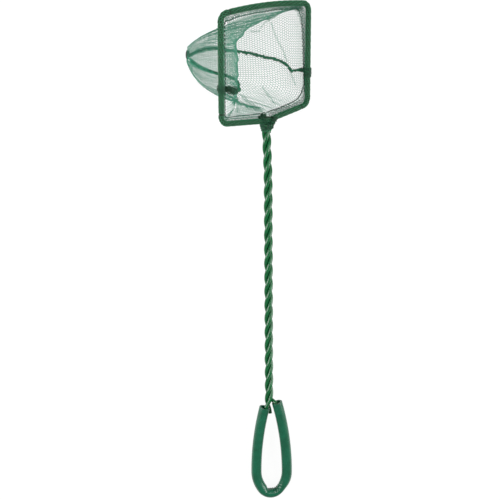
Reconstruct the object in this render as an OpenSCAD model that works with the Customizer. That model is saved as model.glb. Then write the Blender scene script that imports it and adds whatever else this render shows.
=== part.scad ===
// Hand net for a small aquarium, lying on a table.
// One long coated wire is bent into the hoop. Its two tails twist together down the
// handle. One tail runs round the grip loop, inside a soft tube, and climbs back up as a
// third strand. The mesh bag hangs from a hem that is rolled round the hoop.
// +Z is up from the table and +Y runs from the grip to the hoop. The origin is on the
// table, under the middle of the net.

/* [Wire] */
// Diameter of the steel core
core_d = 2.0; // [1.2:0.1:2.4]
// Diameter over the plastic coating
wire_d = 2.8; // [2.5:0.1:3.3]

/* [Hoop] */
// Width of the hoop at its top corners, wire centre to wire centre
hoop_top_w = 74; // [60:1:90]
// Width of the hoop at its bottom corners
hoop_bottom_w = 77; // [60:1:90]
// Length of the side bars
hoop_h = 69; // [55:1:85]
// How far the bottom bars slope down to the handle
hoop_point_h = 5; // [2:0.5:9]
// How far the top bar bows out
hoop_bow = 1.7; // [0.8:0.1:3]
// Bend radius of the corners
corner_r = 5.5; // [4.5:0.5:9]
// Turn of the hoop about the handle
hoop_roll = 39; // [30:1:45]
// Lift of the top of the hoop
hoop_pitch = 19; // [14:1:24]

/* [Handle] */
// Length from the end of the grip to the hoop
handle_len = 277; // [240:1:320]
// Whole turns of a strand round the handle, besides the part of a turn at the neck
twist_turns = 6; // [5:1:8]

/* [Grip] */
// Outer diameter of the soft tube
tube_d = 7.7; // [7:0.1:9]
// Bore of the soft tube
tube_bore_d = 5.2; // [4.6:0.1:5.6]
// Width of the loop, tube centre to tube centre
grip_w = 22.8; // [20:0.2:26]
// Radius of the loop's end
grip_end_r = 8.5; // [7:0.5:10]
// Radius of its long, nearly straight sides
grip_side_r = 215; // [190:5:260]
// Distance from the loop's end to the left mouth of the tube
grip_left_len = 69.5; // [62:0.5:76]
// Distance from the loop's end to the right mouth of the tube
grip_right_len = 73.5; // [66:0.5:80]

/* [Bag] */
// Thickness of a mesh panel
mesh_t = 0.6; // [0.4:0.1:1]
// Openings across the upper panel
openings_across = 12; // [8:1:12]
// Openings from the hem to the tip
openings_down = 5; // [4:1:7]
// Width of a bar between two openings
mesh_bar_w = 2; // [1.2:0.1:3]
// Thickness of the hem that is rolled round the wire
hem_t = 0.25; // [0.2:0.05:0.5]
// Diameter of the overlocked side seams
seam_d = 2.4; // [1.8:0.1:3]
// Diameter of the sewing and tying thread
thread_d = 0.7; // [0.5:0.1:1]
// How far the tip lies to the left of the foot of the hoop
tip_left = 56; // [48:1:62]
// How far the tip lies up the table from the foot of the hoop
tip_up = 47; // [40:1:54]

/* [Hidden] */

// Fits
core_fit = 0.02;    // between the core and its coating
hem_fit = 0.05;     // between the coating and the hem
strand_fit = 0.05;  // between two strands
seat_gap = 0.3;     // between a piece and the soft piece that it lies on

// Sides and rings of the swept surfaces
wire_sides = 10;    // of a coating or a hem
core_sides = 5;     // of a core inside its coating
tube_sides = 12;
seam_sides = 8;
thread_sides = 5;
turn_rings = 8;     // of a strand in one turn
lead_rings = 5;     // of a strand's curved ends
bend_rings = 6;     // of a corner
bow_rings = 8;      // of the top bar's bow

core_r = core_d / 2;
coat_r = wire_d / 2;
hem_r = coat_r + hem_fit + hem_t;
tube_r = tube_d / 2;
tube_bore_r = tube_bore_d / 2;
thread_r = thread_d / 2;
seam_r = seam_d / 2;

// Vectors
function unit(v) = v / norm(v);
function mix(a, b, share) = a + (b - a) * share;
function turned_x(p, a) = [p.x, p.y * cos(a) - p.z * sin(a), p.y * sin(a) + p.z * cos(a)];
function turned_y(p, a) = [p.x * cos(a) + p.z * sin(a), p.y, p.z * cos(a) - p.x * sin(a)];
function turned_z(p, a) = [p.x * cos(a) - p.y * sin(a), p.x * sin(a) + p.y * cos(a), p.z];
function bezier(a, b, c, d, t) =
    a * pow(1 - t, 3) + b * 3 * t * pow(1 - t, 2) + c * 3 * t * t * (1 - t) + d * pow(t, 3);

// Axes of the hoop
hoop_yaw = 0.5;
function on_hoop_axes(p) = turned_z(turned_x(turned_y(p, hoop_roll), hoop_pitch), hoop_yaw);
across = on_hoop_axes([1, 0, 0]);
along = on_hoop_axes([0, 1, 0]);
outward = on_hoop_axes([0, 0, 1]);

// A tube swept along points. The rings keep as still as the route allows.
function ways(route) = [for (i = [0 : len(route) - 1])
    unit(route[min(i + 1, len(route) - 1)] - route[max(i - 1, 0)])];
function square_to(v, way) = unit(v - (v * way) * way);
function sides_of(way_list, first) = [
    for (i = 0, s = square_to(first, way_list[0]); i < len(way_list);
        i = i + 1, s = i < len(way_list) ? square_to(s, way_list[i]) : s) s];
function rings(route, r, n, first) =
    let (way_list = ways(route), side_list = sides_of(way_list, first))
    [for (i = [0 : len(route) - 1], k = [0 : n - 1])
        route[i] + r * (cos(360 * k / n) * side_list[i]
            + sin(360 * k / n) * cross(way_list[i], side_list[i]))];
function strip(a, b, c, d) = [[a, b, c], [a, c, d]];
function wall(from, n, count, flip) = [
    for (i = [0 : count - 2], k = [0 : n - 1])
        let (a = from + i * n + k, b = from + i * n + (k + 1) % n)
        each flip ? strip(a, a + n, b + n, b) : strip(a, b, b + n, a + n)];

module rod(route, r, n, first = [0, 0, 1]) {
    last = (len(route) - 1) * n;
    polyhedron(rings(route, r, n, first), concat(
        wall(0, n, len(route), true),
        [for (k = [1 : n - 2]) [0, k, k + 1]],
        [for (k = [1 : n - 2]) [last, last + k + 1, last + k]]));
}

// A pipe's bore may have fewer sides than its outside, which then has a multiple of them.
function rim_faces(outer, n, inner, bore_n) = [for (k = [0 : bore_n - 1])
    let (step = n / bore_n, a = inner + k, b = inner + (k + 1) % bore_n)
    each concat(
        [for (j = [k * step : (k + 1) * step - 1]) [a, outer + j, outer + (j + 1) % n]],
        [[a, outer + ((k + 1) * step) % n, b]])];

module pipe(route, r, bore_r, n, bore_n, first = [0, 0, 1]) {
    count = len(route);
    inner = count * n;
    last = (count - 1) * n;
    inner_last = inner + (count - 1) * bore_n;
    polyhedron(concat(rings(route, r, n, first), rings(route, bore_r, bore_n, first)), concat(
        wall(0, n, count, true),
        wall(inner, bore_n, count, false),
        rim_faces(0, n, inner, bore_n),
        [for (f = rim_faces(last, n, inner_last, bore_n)) [f[2], f[1], f[0]]]));
}

// The hoop's outline: straight bars between rounded vertices, clockwise from its foot
FOOT = 0;
BOTTOM_LEFT = 1;
TOP_LEFT = 2;
TOP_MIDDLE = 3;
TOP_RIGHT = 4;
BOTTOM_RIGHT = 5;
top_y = hoop_point_h + hoop_h;
vertices = [
    [0, 0],
    [-hoop_bottom_w / 2, hoop_point_h],
    [-hoop_top_w / 2, top_y],
    [0, top_y + 2 * hoop_bow],
    [hoop_top_w / 2, top_y],
    [hoop_bottom_w / 2, hoop_point_h]];
bow_share = 0.75;   // of each half of the top bar, taken up by its bow
half_top = norm(vertices[TOP_MIDDLE] - vertices[TOP_LEFT]);
function vertex(i) = vertices[(i + 6) % 6];
function way_to(i) = unit(vertex(i) - vertex(i - 1));
function bend_angle(i) = acos(way_to(i) * way_to(i + 1));
function bend_r(i) = i == TOP_MIDDLE
    ? bow_share * half_top / tan(bend_angle(i) / 2)
    : corner_r;
function bend_start(i) = vertex(i) - way_to(i) * bend_r(i) * tan(bend_angle(i) / 2);
function bend_end(i) = vertex(i) + way_to(i + 1) * bend_r(i) * tan(bend_angle(i) / 2);
function bend_centre(i) = bend_start(i) + bend_r(i) * [way_to(i).y, -way_to(i).x];
function angle_of(v) = atan2(v.y, v.x);

// Places of the hoop and the handle. The hoop's lowest corner and the end of the grip both
// rest on the table, so the hoop's foot is as high as that corner hangs below it. The
// handle leans a little, and its top bends sideways to meet the hoop.
lowest = bend_centre(BOTTOM_RIGHT);
foot_z = hem_r + corner_r * norm([across.z, along.z]) - lowest.x * across.z - lowest.y * along.z;
handle_lean = 0.5;
handle_bend = 1.1;
handle_bend_len = 45;
handle_rise = asin((foot_z - tube_r) / handle_len);
function on_handle_axes(p) = turned_z(turned_x(p, handle_rise), handle_lean);
whole_y = tube_r + handle_len * cos(handle_rise)
    + (hoop_point_h + hoop_h) * along.y + hoop_top_w / 2 * across.y + hem_r;
foot_from_end = on_handle_axes([-handle_bend, handle_len, 0]);
foot_x = (tip_left + mesh_t / 2 - hoop_bottom_w / 2 * across.x - hem_r) / 2;
grip_end = [foot_x - foot_from_end.x, tube_r - whole_y / 2, tube_r];
foot = grip_end + foot_from_end;

function hoop_place(p) = foot + on_hoop_axes(p);
function handle_place(p) = grip_end + on_handle_axes(p);

// The centre line of a stretch of the hoop, through the bends between its two ends
function around_bend(i, steps) =
    let (from = angle_of(bend_start(i) - bend_centre(i)))
    [for (k = [0 : steps])
        let (a = from - bend_angle(i) * k / steps)
        bend_centre(i) + bend_r(i) * [cos(a), sin(a)]];
function hoop_line(from, bends, to) =
    [for (p = concat([from],
            [for (i = bends) each around_bend(i, i == TOP_MIDDLE ? bow_rings : bend_rings)], [to]))
        hoop_place([p.x, p.y, 0])];

// The wire of the hoop stops short of the foot, where its tails turn into the handle.
tail_gap = 5;
left_tail = way_to(BOTTOM_LEFT) * tail_gap;
right_tail = -way_to(FOOT) * tail_gap;
hoop_route = hoop_line(left_tail, [BOTTOM_LEFT : BOTTOM_RIGHT], right_tail);

module hoop_core() {
    color("silver") rod(hoop_route, core_r, core_sides, outward);
}

module hoop_coating() {
    color("seagreen")
        pipe(hoop_route, coat_r, core_r + core_fit, wire_sides, core_sides, outward);
}

// The hem is the mesh itself, rolled round the wire. Each piece takes one bar and the bend
// after it, and ends a little way along the next bar.
function hem_end(i) = bend_end(i) + way_to(i + 1) * hem_r;

module hem(from, bends, to) {
    color("darkgreen")
        pipe(hoop_line(from, bends, to), hem_r, coat_r + hem_fit, wire_sides, wire_sides, outward);
}

module hem_bottom_left() {
    hem(left_tail, [BOTTOM_LEFT], hem_end(BOTTOM_LEFT));
}

module hem_left() {
    hem(hem_end(BOTTOM_LEFT), [TOP_LEFT], hem_end(TOP_LEFT));
}

module hem_top() {
    hem(hem_end(TOP_LEFT), [TOP_MIDDLE, TOP_RIGHT], hem_end(TOP_RIGHT));
}

module hem_right() {
    hem(hem_end(TOP_RIGHT), [BOTTOM_RIGHT], hem_end(BOTTOM_RIGHT));
}

module hem_bottom_right() {
    hem(hem_end(BOTTOM_RIGHT), [], right_tail);
}

// The handle's strands wind round a line that starts at the grip's end and runs up the
// handle. A distance from the foot is counted down the handle. The chords between two rings
// pass nearer to the line than the rings do, and still stay clear of each other.
strand_orbit_r = (coat_r + strand_fit / 2) / cos(30) / cos(180 / turn_rings);
twist_top = 4.5;    // where the twist starts
neck_up = 76;       // where it ends, counted up from the end of the grip
neck = handle_len - neck_up;
neck_turn_share = 0.44;
twist_lead = (neck - twist_top) / (twist_turns + neck_turn_share);
top_angle = 254;    // of the left strand, where the twist starts
end_stub = 1;       // the straight end of a curved lead
lead_share = 0.4;   // of a lead's length, taken by each end's own direction
function bend_at(down) =
    let (t = max(0, 1 - down / handle_bend_len)) handle_bend * t * t * (3 - 2 * t);
function line_at(down) = [-bend_at(down), handle_len - down, 0];
function strand_angle(number, down) =
    top_angle + 120 * number + 360 * (down - twist_top) / twist_lead;
function strand_at(number, down) =
    let (a = strand_angle(number, down))
    line_at(down) + strand_orbit_r * [cos(a), 0, sin(a)];
function strand_way(number, down) =
    unit(strand_at(number, down + thread_d) - strand_at(number, down - thread_d));
function twist(number) =
    let (steps = ceil((neck - twist_top) / twist_lead * turn_rings))
    [for (i = [0 : steps]) handle_place(strand_at(number, mix(twist_top, neck, i / steps)))];
function lead(a, a_way, b, b_way, steps) =
    let (reach = norm(b - a) * lead_share)
    [for (i = steps) bezier(a, a + a_way * reach, b - b_way * reach, b, i / lead_rings)];
function from_tail(number, start, way) = concat([start],
    lead(start + way * end_stub, way, handle_place(strand_at(number, twist_top)),
        on_handle_axes(strand_way(number, twist_top)), [0 : lead_rings - 1]));
function to_grip(number, stop, way) = concat(
    lead(handle_place(strand_at(number, neck)), on_handle_axes(strand_way(number, neck)),
        stop - way * end_stub, way, [1 : lead_rings]), [stop]);

// The grip loop's centre line has an end arc, two shoulder arcs and two long side arcs.
// The wire inside lies against the inner side of the tube.
grip_shift = 1.7;
grip_lift = 2;      // the loop rises a little more than the handle does
function on_grip_axes(p) = on_handle_axes(turned_x(p, grip_lift));
function grip_place(p) = grip_end + on_grip_axes(p);
end_half_angle = 55;
shoulder_r = (grip_w / 2 - grip_end_r * sin(end_half_angle)) / (1 - sin(end_half_angle));
shoulder_y = grip_end_r + (shoulder_r - grip_end_r) * cos(end_half_angle);
shoulder_x = grip_w / 2 - shoulder_r;
side_x = grip_w / 2 - grip_side_r;
wire_in = tube_bore_r - coat_r - seat_gap;
wire_run_in = 2.5;   // how far a strand runs on inside the tube
side_rings = 4;
shoulder_rings = 3;
end_rings = 8;
function arc(centre, r, from, to, steps) =
    [for (i = [0 : steps]) let (a = mix(from, to, i / steps))
        [grip_shift + centre.x + r * cos(a), centre.y + r * sin(a), 0]];
function but_last(list) = [for (i = [0 : len(list) - 2]) list[i]];
function side_angle(len) = asin((len - shoulder_y) / grip_side_r);
function side_point(hand, len, inset) = let (a = side_angle(len))
    [grip_shift + hand * (side_x + (grip_side_r - inset) * cos(a)),
        shoulder_y + (grip_side_r - inset) * sin(a), 0];
function side_way(hand, len) = let (a = side_angle(len)) [hand * sin(a), -cos(a), 0];
function side_line(hand, len, inset) = concat([side_point(hand, len, inset)],
    [for (i = [0 : side_rings - 1])
        side_point(hand, mix(len - end_stub, shoulder_y, i / side_rings), inset)]);
function reversed(list) = [for (i = [len(list) - 1 : -1 : 0]) list[i]];
function grip_line(left_len, right_len, inset) =
    let (turn = 90 - end_half_angle)
    [for (p = concat(
        side_line(-1, left_len, inset),
        but_last(arc([-shoulder_x, shoulder_y], shoulder_r - inset, 180, 180 + turn, shoulder_rings)),
        but_last(arc([0, grip_end_r], grip_end_r - inset, 180 + turn, 360 - turn, end_rings)),
        arc([shoulder_x, shoulder_y], shoulder_r - inset, 360 - turn, 360, shoulder_rings),
        reversed(side_line(1, right_len, inset)))) grip_place(p)];
grip_wire_route = grip_line(grip_left_len - wire_run_in, grip_right_len - wire_run_in, wire_in);
grip_up = on_grip_axes([0, 0, 1]);

module grip_tube() {
    color("darkseagreen") pipe(grip_line(grip_left_len, grip_right_len, 0), tube_r, tube_bore_r,
        tube_sides, tube_sides, grip_up);
}

module grip_core() {
    color("silver") rod(grip_wire_route, core_r, core_sides, grip_up);
}

module grip_coating() {
    color("seagreen") pipe(grip_wire_route, coat_r, core_r + core_fit, wire_sides, core_sides, grip_up);
}

// Routes of the three strands. The return strand ends beside the foot, the right one beside
// the tube's left mouth, where its cut end shows the core.
cut_end_right = 0.9;
cut_end_up = 62.5;
cut_end_low = 3.2;
cut_end = [cut_end_right, cut_end_up, -cut_end_low];
cut_end_way = [0.1, -0.98, 0.2];
return_end_right = 4.4;
return_end_below = 3;
return_end_over = 5;
return_end = [return_end_right, handle_len - return_end_below, return_end_over];
return_end_way = [-0.97, -0.2, 0];
function strand_route(number, top, stop, way) =
    concat(top, twist(number), to_grip(number, stop, way));
function tube_route(number, top, hand, len) = strand_route(number, top,
    grip_place(side_point(hand, len - wire_run_in, wire_in)),
    on_grip_axes(side_way(hand, len - wire_run_in)));
function tail_top(number, tail) = from_tail(number, hoop_place([tail.x, tail.y, 0]),
    on_hoop_axes([-unit(tail).x, -unit(tail).y, 0]));
left_route = tube_route(0, tail_top(0, left_tail), -1, grip_left_len);
right_route = strand_route(1, tail_top(1, right_tail), handle_place(cut_end),
    on_handle_axes(unit(cut_end_way)));
return_route = tube_route(2,
    from_tail(2, handle_place(return_end), on_handle_axes(unit(return_end_way))),
    1, grip_right_len);

module core(route) {
    rod(route, core_r, core_sides);
}

module coating(route) {
    pipe(route, coat_r, core_r + core_fit, wire_sides, core_sides);
}

module left_strand_core() {
    color("silver") core(left_route);
}

module left_strand_coating() {
    color("seagreen") coating(left_route);
}

module right_strand_core() {
    color("silver") core(right_route);
}

module right_strand_coating() {
    color("mediumseagreen") coating(right_route);
}

module return_strand_core() {
    color("silver") core(return_route);
}

module return_strand_coating() {
    color("green") coating(return_route);
}

// The bag's rim follows the hoop. It is cut at the two knots, where the side seams start.
knot_share = 0.33;  // of a side bar's length, up from its lower end
winding_gap = 0.45;
winding_lead = thread_d + winding_gap;
tie_turns = 4;
tie_half = (tie_turns * winding_lead + thread_d) / 2 + seat_gap;
left_knot = mix(vertices[BOTTOM_LEFT], vertices[TOP_LEFT], knot_share);
right_knot = mix(vertices[BOTTOM_RIGHT], vertices[TOP_RIGHT], knot_share);
outline = concat([vertices[FOOT]], [for (i = [BOTTOM_LEFT : BOTTOM_RIGHT])
    each around_bend(i, i == TOP_MIDDLE ? bow_rings : bend_rings)], [vertices[FOOT]]);
last_point = len(outline) - 1;
outline_runs = [for (i = 0, s = 0; i <= last_point;
    i = i + 1, s = i <= last_point ? s + norm(outline[i] - outline[i - 1]) : s) s];
outline_len = outline_runs[last_point];
function rim_at(s) = let (on = s % outline_len)
    [for (k = [0, 1]) lookup(on, [for (i = [0 : last_point]) [outline_runs[i], outline[i][k]]])];
function run_to(p) = let (gaps = [for (q = outline) norm(p - q)])
    [for (i = [0 : last_point]) if (gaps[i] == min(gaps)) outline_runs[i]][0];
left_run = run_to(bend_end(BOTTOM_LEFT)) + norm(left_knot - bend_end(BOTTOM_LEFT));
right_run = run_to(bend_end(TOP_RIGHT)) + norm(right_knot - bend_end(TOP_RIGHT));

// The lines of a panel's grid, as places along the rim: both edges of every bar, and the
// outline's own points between them. The outer bars are as wide as a tie covers.
function sorted(list) = len(list) == 0 ? list : let (first = list[0]) concat(
    sorted([for (s = list) if (s < first) s]), [first], sorted([for (s = list) if (s > first) s]));
function bar_edges(from, to, openings) = concat([from, from + tie_half],
    [for (k = [1 : openings - 1], hand = [-1, 1])
        mix(from, to, k / openings) + hand * mesh_bar_w / 2], [to - tie_half, to]);
function grid_lines(from, to, openings) =
    let (edges = bar_edges(from, to, openings),
        own = [for (turn = [0, 1], s = outline_runs) s + turn * outline_len])
    sorted(concat(edges, [for (s = own)
        if (s > from && s < to && min([for (e = edges) abs(e - s)]) > mesh_bar_w) s]));
lower_openings = round(openings_across * (left_run + outline_len - right_run) / (right_run - left_run));
upper_lines = grid_lines(left_run, right_run, openings_across);
lower_lines = grid_lines(right_run, left_run + outline_len, lower_openings);
upper_rim = [for (s = upper_lines) rim_at(s)];
lower_rim = [for (s = lower_lines) rim_at(s)];

// Each thread of the bag leaves the hem, hangs down and tucks in under the hoop, spreads
// into the cone that lies beside it on the table, and ends in the flat oval of the tip.
// Under a tie it starts lower, by the thickness of the thread.
tuck_share = 0.5;       // inward, of a thread's height above the table
drop_share = 0.72;      // down, of the same height
tip_w = 9;
tip_h = 3;
cone_up_side = 19;      // how far the cone spreads from the tip, up the table
cone_up_back = 15;      // and how far back from it on that side
cone_down_side = 36;    // the same, down the table
cone_down_back = 10;
cone_h = 26;
floor_slack = 10;       // how far the slack of the bag's floor lies up the table
side_slack = 4;         // how far the slack of the side below the left bar lies down it
way_step = 0.01;        // a small step along a thread, to find its direction
mouth_middle = [0, hoop_point_h + hoop_h / 2];
tip = [foot.x - tip_left, foot.y + tip_up, (tip_h + mesh_t) / 2];
function on_table(p) = [p.x, p.y, max(p.z, mesh_t / 2)];
function tied(q) = min(norm(q - left_knot), norm(q - right_knot)) < tie_half + hem_fit;
function rim_depth(q) = hem_r + mesh_t / 2 + hem_fit + (tied(q) ? thread_d + hem_fit : 0);
function rim_place(q) = on_table(hoop_place([q.x, q.y, -rim_depth(q)]));
function around(q) = angle_of(q - mouth_middle);
function tip_place(q) = tip + [0, sin(around(q)) * tip_w / 2, -cos(around(q)) * tip_h / 2];
function cone_place(q) =
    let (side = sin(around(q)))
    tip + [mix(cone_down_back, cone_up_back, (1 + side) / 2),
        side * (side > 0 ? cone_up_side : cone_down_side),
        (1 - cos(around(q))) * cone_h / 2 - tip_h / 2];
function slack(q) = cos(around(q)) * (cos(around(q)) > 0 ? floor_slack : side_slack);
function bag_point(q, t) =
    let (rim = rim_place(q), middle = hoop_place([mouth_middle.x, mouth_middle.y, 0]),
        inward = unit([middle.x - rim.x, middle.y - rim.y, 0]))
    on_table(bezier(rim, rim + (inward * tuck_share - [0, 0, drop_share]) * rim.z,
        cone_place(q), tip_place(q), t) + [0, slack(q) * 4 * t * (1 - t), 0]);
function beside(rim, i, step) = rim[max(0, min(len(rim) - 1, i + step))];
function skin(rim, i, t, out) =
    let (round_way = bag_point(beside(rim, i, 1), t) - bag_point(beside(rim, i, -1), t),
        down_way = bag_point(rim[i], min(t + way_step, 1)) - bag_point(rim[i], max(t - way_step, 0)),
        p = bag_point(rim[i], t) + unit(cross(round_way, down_way)) * out)
    [p.x, p.y, max(p.z, 0)];

// The netting's own gaps are finer than a solid can hold, so a plain grid of openings stands
// for them. Each panel has a whole band below the hem, with a row of points at the stitches,
// and a whole end at the tip. Between these, its rows are open and barred in turn.
hem_band_w = 4;         // from the rim to the stitches
band_edge_w = 1.4;      // beyond the stitches
whole_end_share = 0.12; // of the way from the band to the tip
rung_share = 0.035;     // of the same way, taken by a bar across
row_power = 1.1;        // rows lie closer near the tip
halvings = 14;
function way_down(q, far, low = 0, high = 1 / 2, tries = halvings) =
    let (t = (low + high) / 2)
    tries == 0 ? t
        : norm(bag_point(q, t) - bag_point(q, 0)) < far ? way_down(q, far, t, high, tries - 1)
        : way_down(q, far, low, t, tries - 1);
function row_share(k) = (1 - whole_end_share) * (1 - pow(1 - k / openings_down, row_power));
row_shares = concat([for (k = [0 : openings_down - 1])
    each [row_share(k) + (k == 0 ? 0 : rung_share / 2),
        row_share(k + 1) - (k == openings_down - 1 ? 0 : rung_share / 2)]], [1]);
rows = len(row_shares) + 1;
function row_at(q, row) = row == 0 ? 0
    : row == 1 ? way_down(q, hem_band_w)
    : mix(way_down(q, hem_band_w + band_edge_w), 1, row_shares[row - 2]);
function is_bar(edges, s) =
    len([for (e = [0 : 2 : len(edges) - 1]) if (edges[e] < s && s < edges[e + 1]) e]) > 0;

module panel(from, to, openings) {
    lines = grid_lines(from, to, openings);
    edges = bar_edges(from, to, openings);
    rim = [for (s = lines) rim_at(s)];
    n = len(rim);
    back = n * (rows + 1);
    grid = [for (out = [-mesh_t / 2, mesh_t / 2], row = [0 : rows], i = [0 : n - 1])
        skin(rim, i, row_at(rim[i], row), out)];
    barred = [for (i = [0 : n - 2]) is_bar(edges, mix(lines[i], lines[i + 1], 1 / 2))];
    function is_whole(i, row) =
        i >= 0 && i < n - 1 && row >= 0 && row < rows && (barred[i] || row == 0 || row % 2 == 1);
    polyhedron(grid, [for (row = [0 : rows - 1], i = [0 : n - 2]) if (is_whole(i, row))
        let (a = row * n + i, loop = [a, a + 1, a + n + 1, a + n],
            face = strip(loop[0], loop[1], loop[2], loop[3]),
            near = [[i, row - 1], [i + 1, row], [i, row + 1], [i - 1, row]])
        each concat(face, [for (f = face) [f[0] + back, f[2] + back, f[1] + back]],
            [for (k = [0 : 3]) if (!is_whole(near[k][0], near[k][1]))
                let (x = loop[k], y = loop[(k + 1) % 4]) each strip(y, x, x + back, y + back)])]);
}

module bag_upper() {
    color("palegreen") panel(left_run, right_run, openings_across);
}

module bag_lower() {
    color("lightgreen") panel(right_run, left_run + outline_len, lower_openings);
}

// The hem's line of stitches runs all round the bag, on its inner face.
stitch_in = mesh_t / 2 + thread_r + hem_fit;
function stitch_run(rim, from, to) =
    [for (i = [from : to]) skin(rim, i, way_down(rim[i], hem_band_w), -stitch_in)];

module hem_stitch() {
    color("darkgreen") rod(concat(stitch_run(upper_rim, 1, len(upper_rim) - 1),
        stitch_run(lower_rim, 1, len(lower_rim) - 2)), thread_r, thread_sides);
}

// The overlocked side seams run down inside the bag, from below the stitches to the tip.
seam_steps = 22;
seam_end_share = 0.9;   // of the way to the tip
seam_in = mesh_t / 2 + seam_r + seat_gap;
function seam_route(rim, i) =
    let (from = way_down(rim[i], hem_band_w + thread_d + seam_r))
    [for (k = [0 : seam_steps]) skin(rim, i, mix(from, seam_end_share, k / seam_steps), -seam_in)];

module left_seam() {
    color("darkgreen") rod(seam_route(upper_rim, 0), seam_r, seam_sides, [0, 1, 0]);
}

module right_seam() {
    color("darkgreen") rod(seam_route(upper_rim, len(upper_rim) - 1), seam_r, seam_sides, [0, 1, 0]);
}

// Thread wound round a straight line: the two ties on the hoop and the wrap on the handle.
// The chords between two rings of a turn still pass outside what they hold.
coil_rings = 8;     // rings in one turn
tie_r = (hem_r + thread_r) / cos(180 / coil_rings);
wrap_turns = 4;
wrap_r = (strand_orbit_r + coat_r + thread_r) / cos(180 / coil_rings);
wrap_down = twist_top + wrap_turns * winding_lead / 2;
function winding(turns, r) = [for (i = [0 : turns * coil_rings])
    let (a = 360 * i / coil_rings)
    [r * cos(a), (i / coil_rings - turns / 2) * winding_lead, r * sin(a)]];
function turn_gap(points) = min([for (i = [0 : len(points) - 1 - coil_rings],
        j = [i + coil_rings / 2 : len(points) - 1]) norm(points[i] - points[j])]) - thread_d;
function on_bar(knot, way, p) =
    let (middle = knot + way * p.y, side = [way.y, -way.x])
    hoop_place([middle.x + side.x * p.x, middle.y + side.y * p.x, p.z]);
echo(tie_gap = turn_gap(winding(tie_turns, tie_r)), wrap_gap = turn_gap(winding(wrap_turns, wrap_r)));

module tie(knot, way) {
    color("darkslategray")
        rod([for (p = winding(tie_turns, tie_r)) on_bar(knot, way, p)], thread_r, thread_sides);
}

module left_tie() {
    tie(left_knot, way_to(TOP_LEFT));
}

module right_tie() {
    tie(right_knot, -way_to(BOTTOM_RIGHT));
}

module junction_wrap() {
    color("darkslategray")
        rod([for (p = winding(wrap_turns, wrap_r)) handle_place(p + line_at(wrap_down))],
            thread_r, thread_sides);
}

// A bar of stitches closes the end of the bag, between its two layers.
knot_r = (tip_h - mesh_t) / 2 - seat_gap;
bar_share = 0.5;    // of the tip's width
knot_half_len = bar_share * tip_w / 2;

module tip_knot() {
    color("darkgreen") translate(tip + [knot_r, 0, 0]) {
        rotate([90, 0, 0]) cylinder(2 * knot_half_len, knot_r, knot_r, center = true, $fn = 24);
        for (hand = [-1, 1]) translate([0, hand * knot_half_len, 0]) sphere(knot_r, $fn = 24);
    }
}

hoop_core();
hoop_coating();
left_strand_core();
left_strand_coating();
right_strand_core();
right_strand_coating();
return_strand_core();
return_strand_coating();
grip_core();
grip_coating();
grip_tube();
hem_left();
hem_top();
hem_right();
hem_bottom_right();
hem_bottom_left();
bag_upper();
bag_lower();
hem_stitch();
left_seam();
right_seam();
left_tie();
right_tie();
junction_wrap();
tip_knot();
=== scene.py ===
# %% [markdown]
# # A small hand net for an aquarium
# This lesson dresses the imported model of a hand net. The net is one long coated wire, bent
# into a hoop and twisted into a handle, with a bag of fine knitted netting sewn round the
# hoop and a soft tube over the loop at the other end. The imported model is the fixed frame:
# it says how big each piece is and where it lies. Here each piece gets the shape and the
# finish that the eye sees. All the shapes are worked out in millimetres, in the frame's own
# axes, and turned to metres when a mesh is made.

# %% The frame
import math

import bpy
import numpy as np
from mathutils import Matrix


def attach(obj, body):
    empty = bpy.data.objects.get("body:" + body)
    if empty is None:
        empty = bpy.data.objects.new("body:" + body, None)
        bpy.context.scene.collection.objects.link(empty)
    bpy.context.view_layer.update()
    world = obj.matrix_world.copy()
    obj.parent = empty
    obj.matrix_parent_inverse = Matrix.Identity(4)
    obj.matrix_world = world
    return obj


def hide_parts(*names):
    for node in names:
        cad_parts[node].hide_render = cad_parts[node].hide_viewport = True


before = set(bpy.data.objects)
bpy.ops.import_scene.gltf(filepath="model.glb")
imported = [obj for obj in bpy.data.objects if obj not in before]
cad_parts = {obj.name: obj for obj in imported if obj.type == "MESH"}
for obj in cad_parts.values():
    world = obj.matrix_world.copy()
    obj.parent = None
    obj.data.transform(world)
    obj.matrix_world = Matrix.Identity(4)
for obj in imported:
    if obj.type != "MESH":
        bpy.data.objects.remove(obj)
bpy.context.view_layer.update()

MM = 0.001
BODY = "root"

# %% [markdown]
# ## The camera
# The photograph looks almost straight down on the net from about half a metre, and leans a
# little towards the hoop. With such a short distance the near things look larger, so the
# distance and the angle of view matter as much as the direction. Two small functions go
# from points to pixels and back, for the details that are placed by the photograph.

# %% The camera
CAMERA_AIM = np.array([1.2, 13.0, 37.2])
CAMERA_DISTANCE = 500.0
CAMERA_LEAN = 7.0        # degrees, towards the hoop
IMAGE_SIZE = 500.0       # pixels
FOCAL_PIXELS = 735.3
SENSOR = 36.0
CLIP = (10, 10000)       # the nearest and the farthest that it sees

lean = math.radians(CAMERA_LEAN)
camera_place = CAMERA_AIM + CAMERA_DISTANCE * np.array([0, math.sin(lean), math.cos(lean)])
bpy.ops.object.camera_add(location=camera_place * MM, rotation=(-lean, 0, 0))
camera = bpy.context.object
camera.data.sensor_width = SENSOR
camera.data.lens = FOCAL_PIXELS * SENSOR / IMAGE_SIZE
camera.data.clip_start, camera.data.clip_end = (c * MM for c in CLIP)
bpy.context.scene.camera = camera


def turned(points, axis, degrees):
    """Points turned about one axis through the origin."""
    first, second = {"x": (1, 2), "y": (2, 0), "z": (0, 1)}[axis]
    c, s = math.cos(math.radians(degrees)), math.sin(math.radians(degrees))
    out = np.array(points, float)
    a, b = out[..., first].copy(), out[..., second].copy()
    out[..., first], out[..., second] = a * c - b * s, a * s + b * c
    return out


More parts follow.
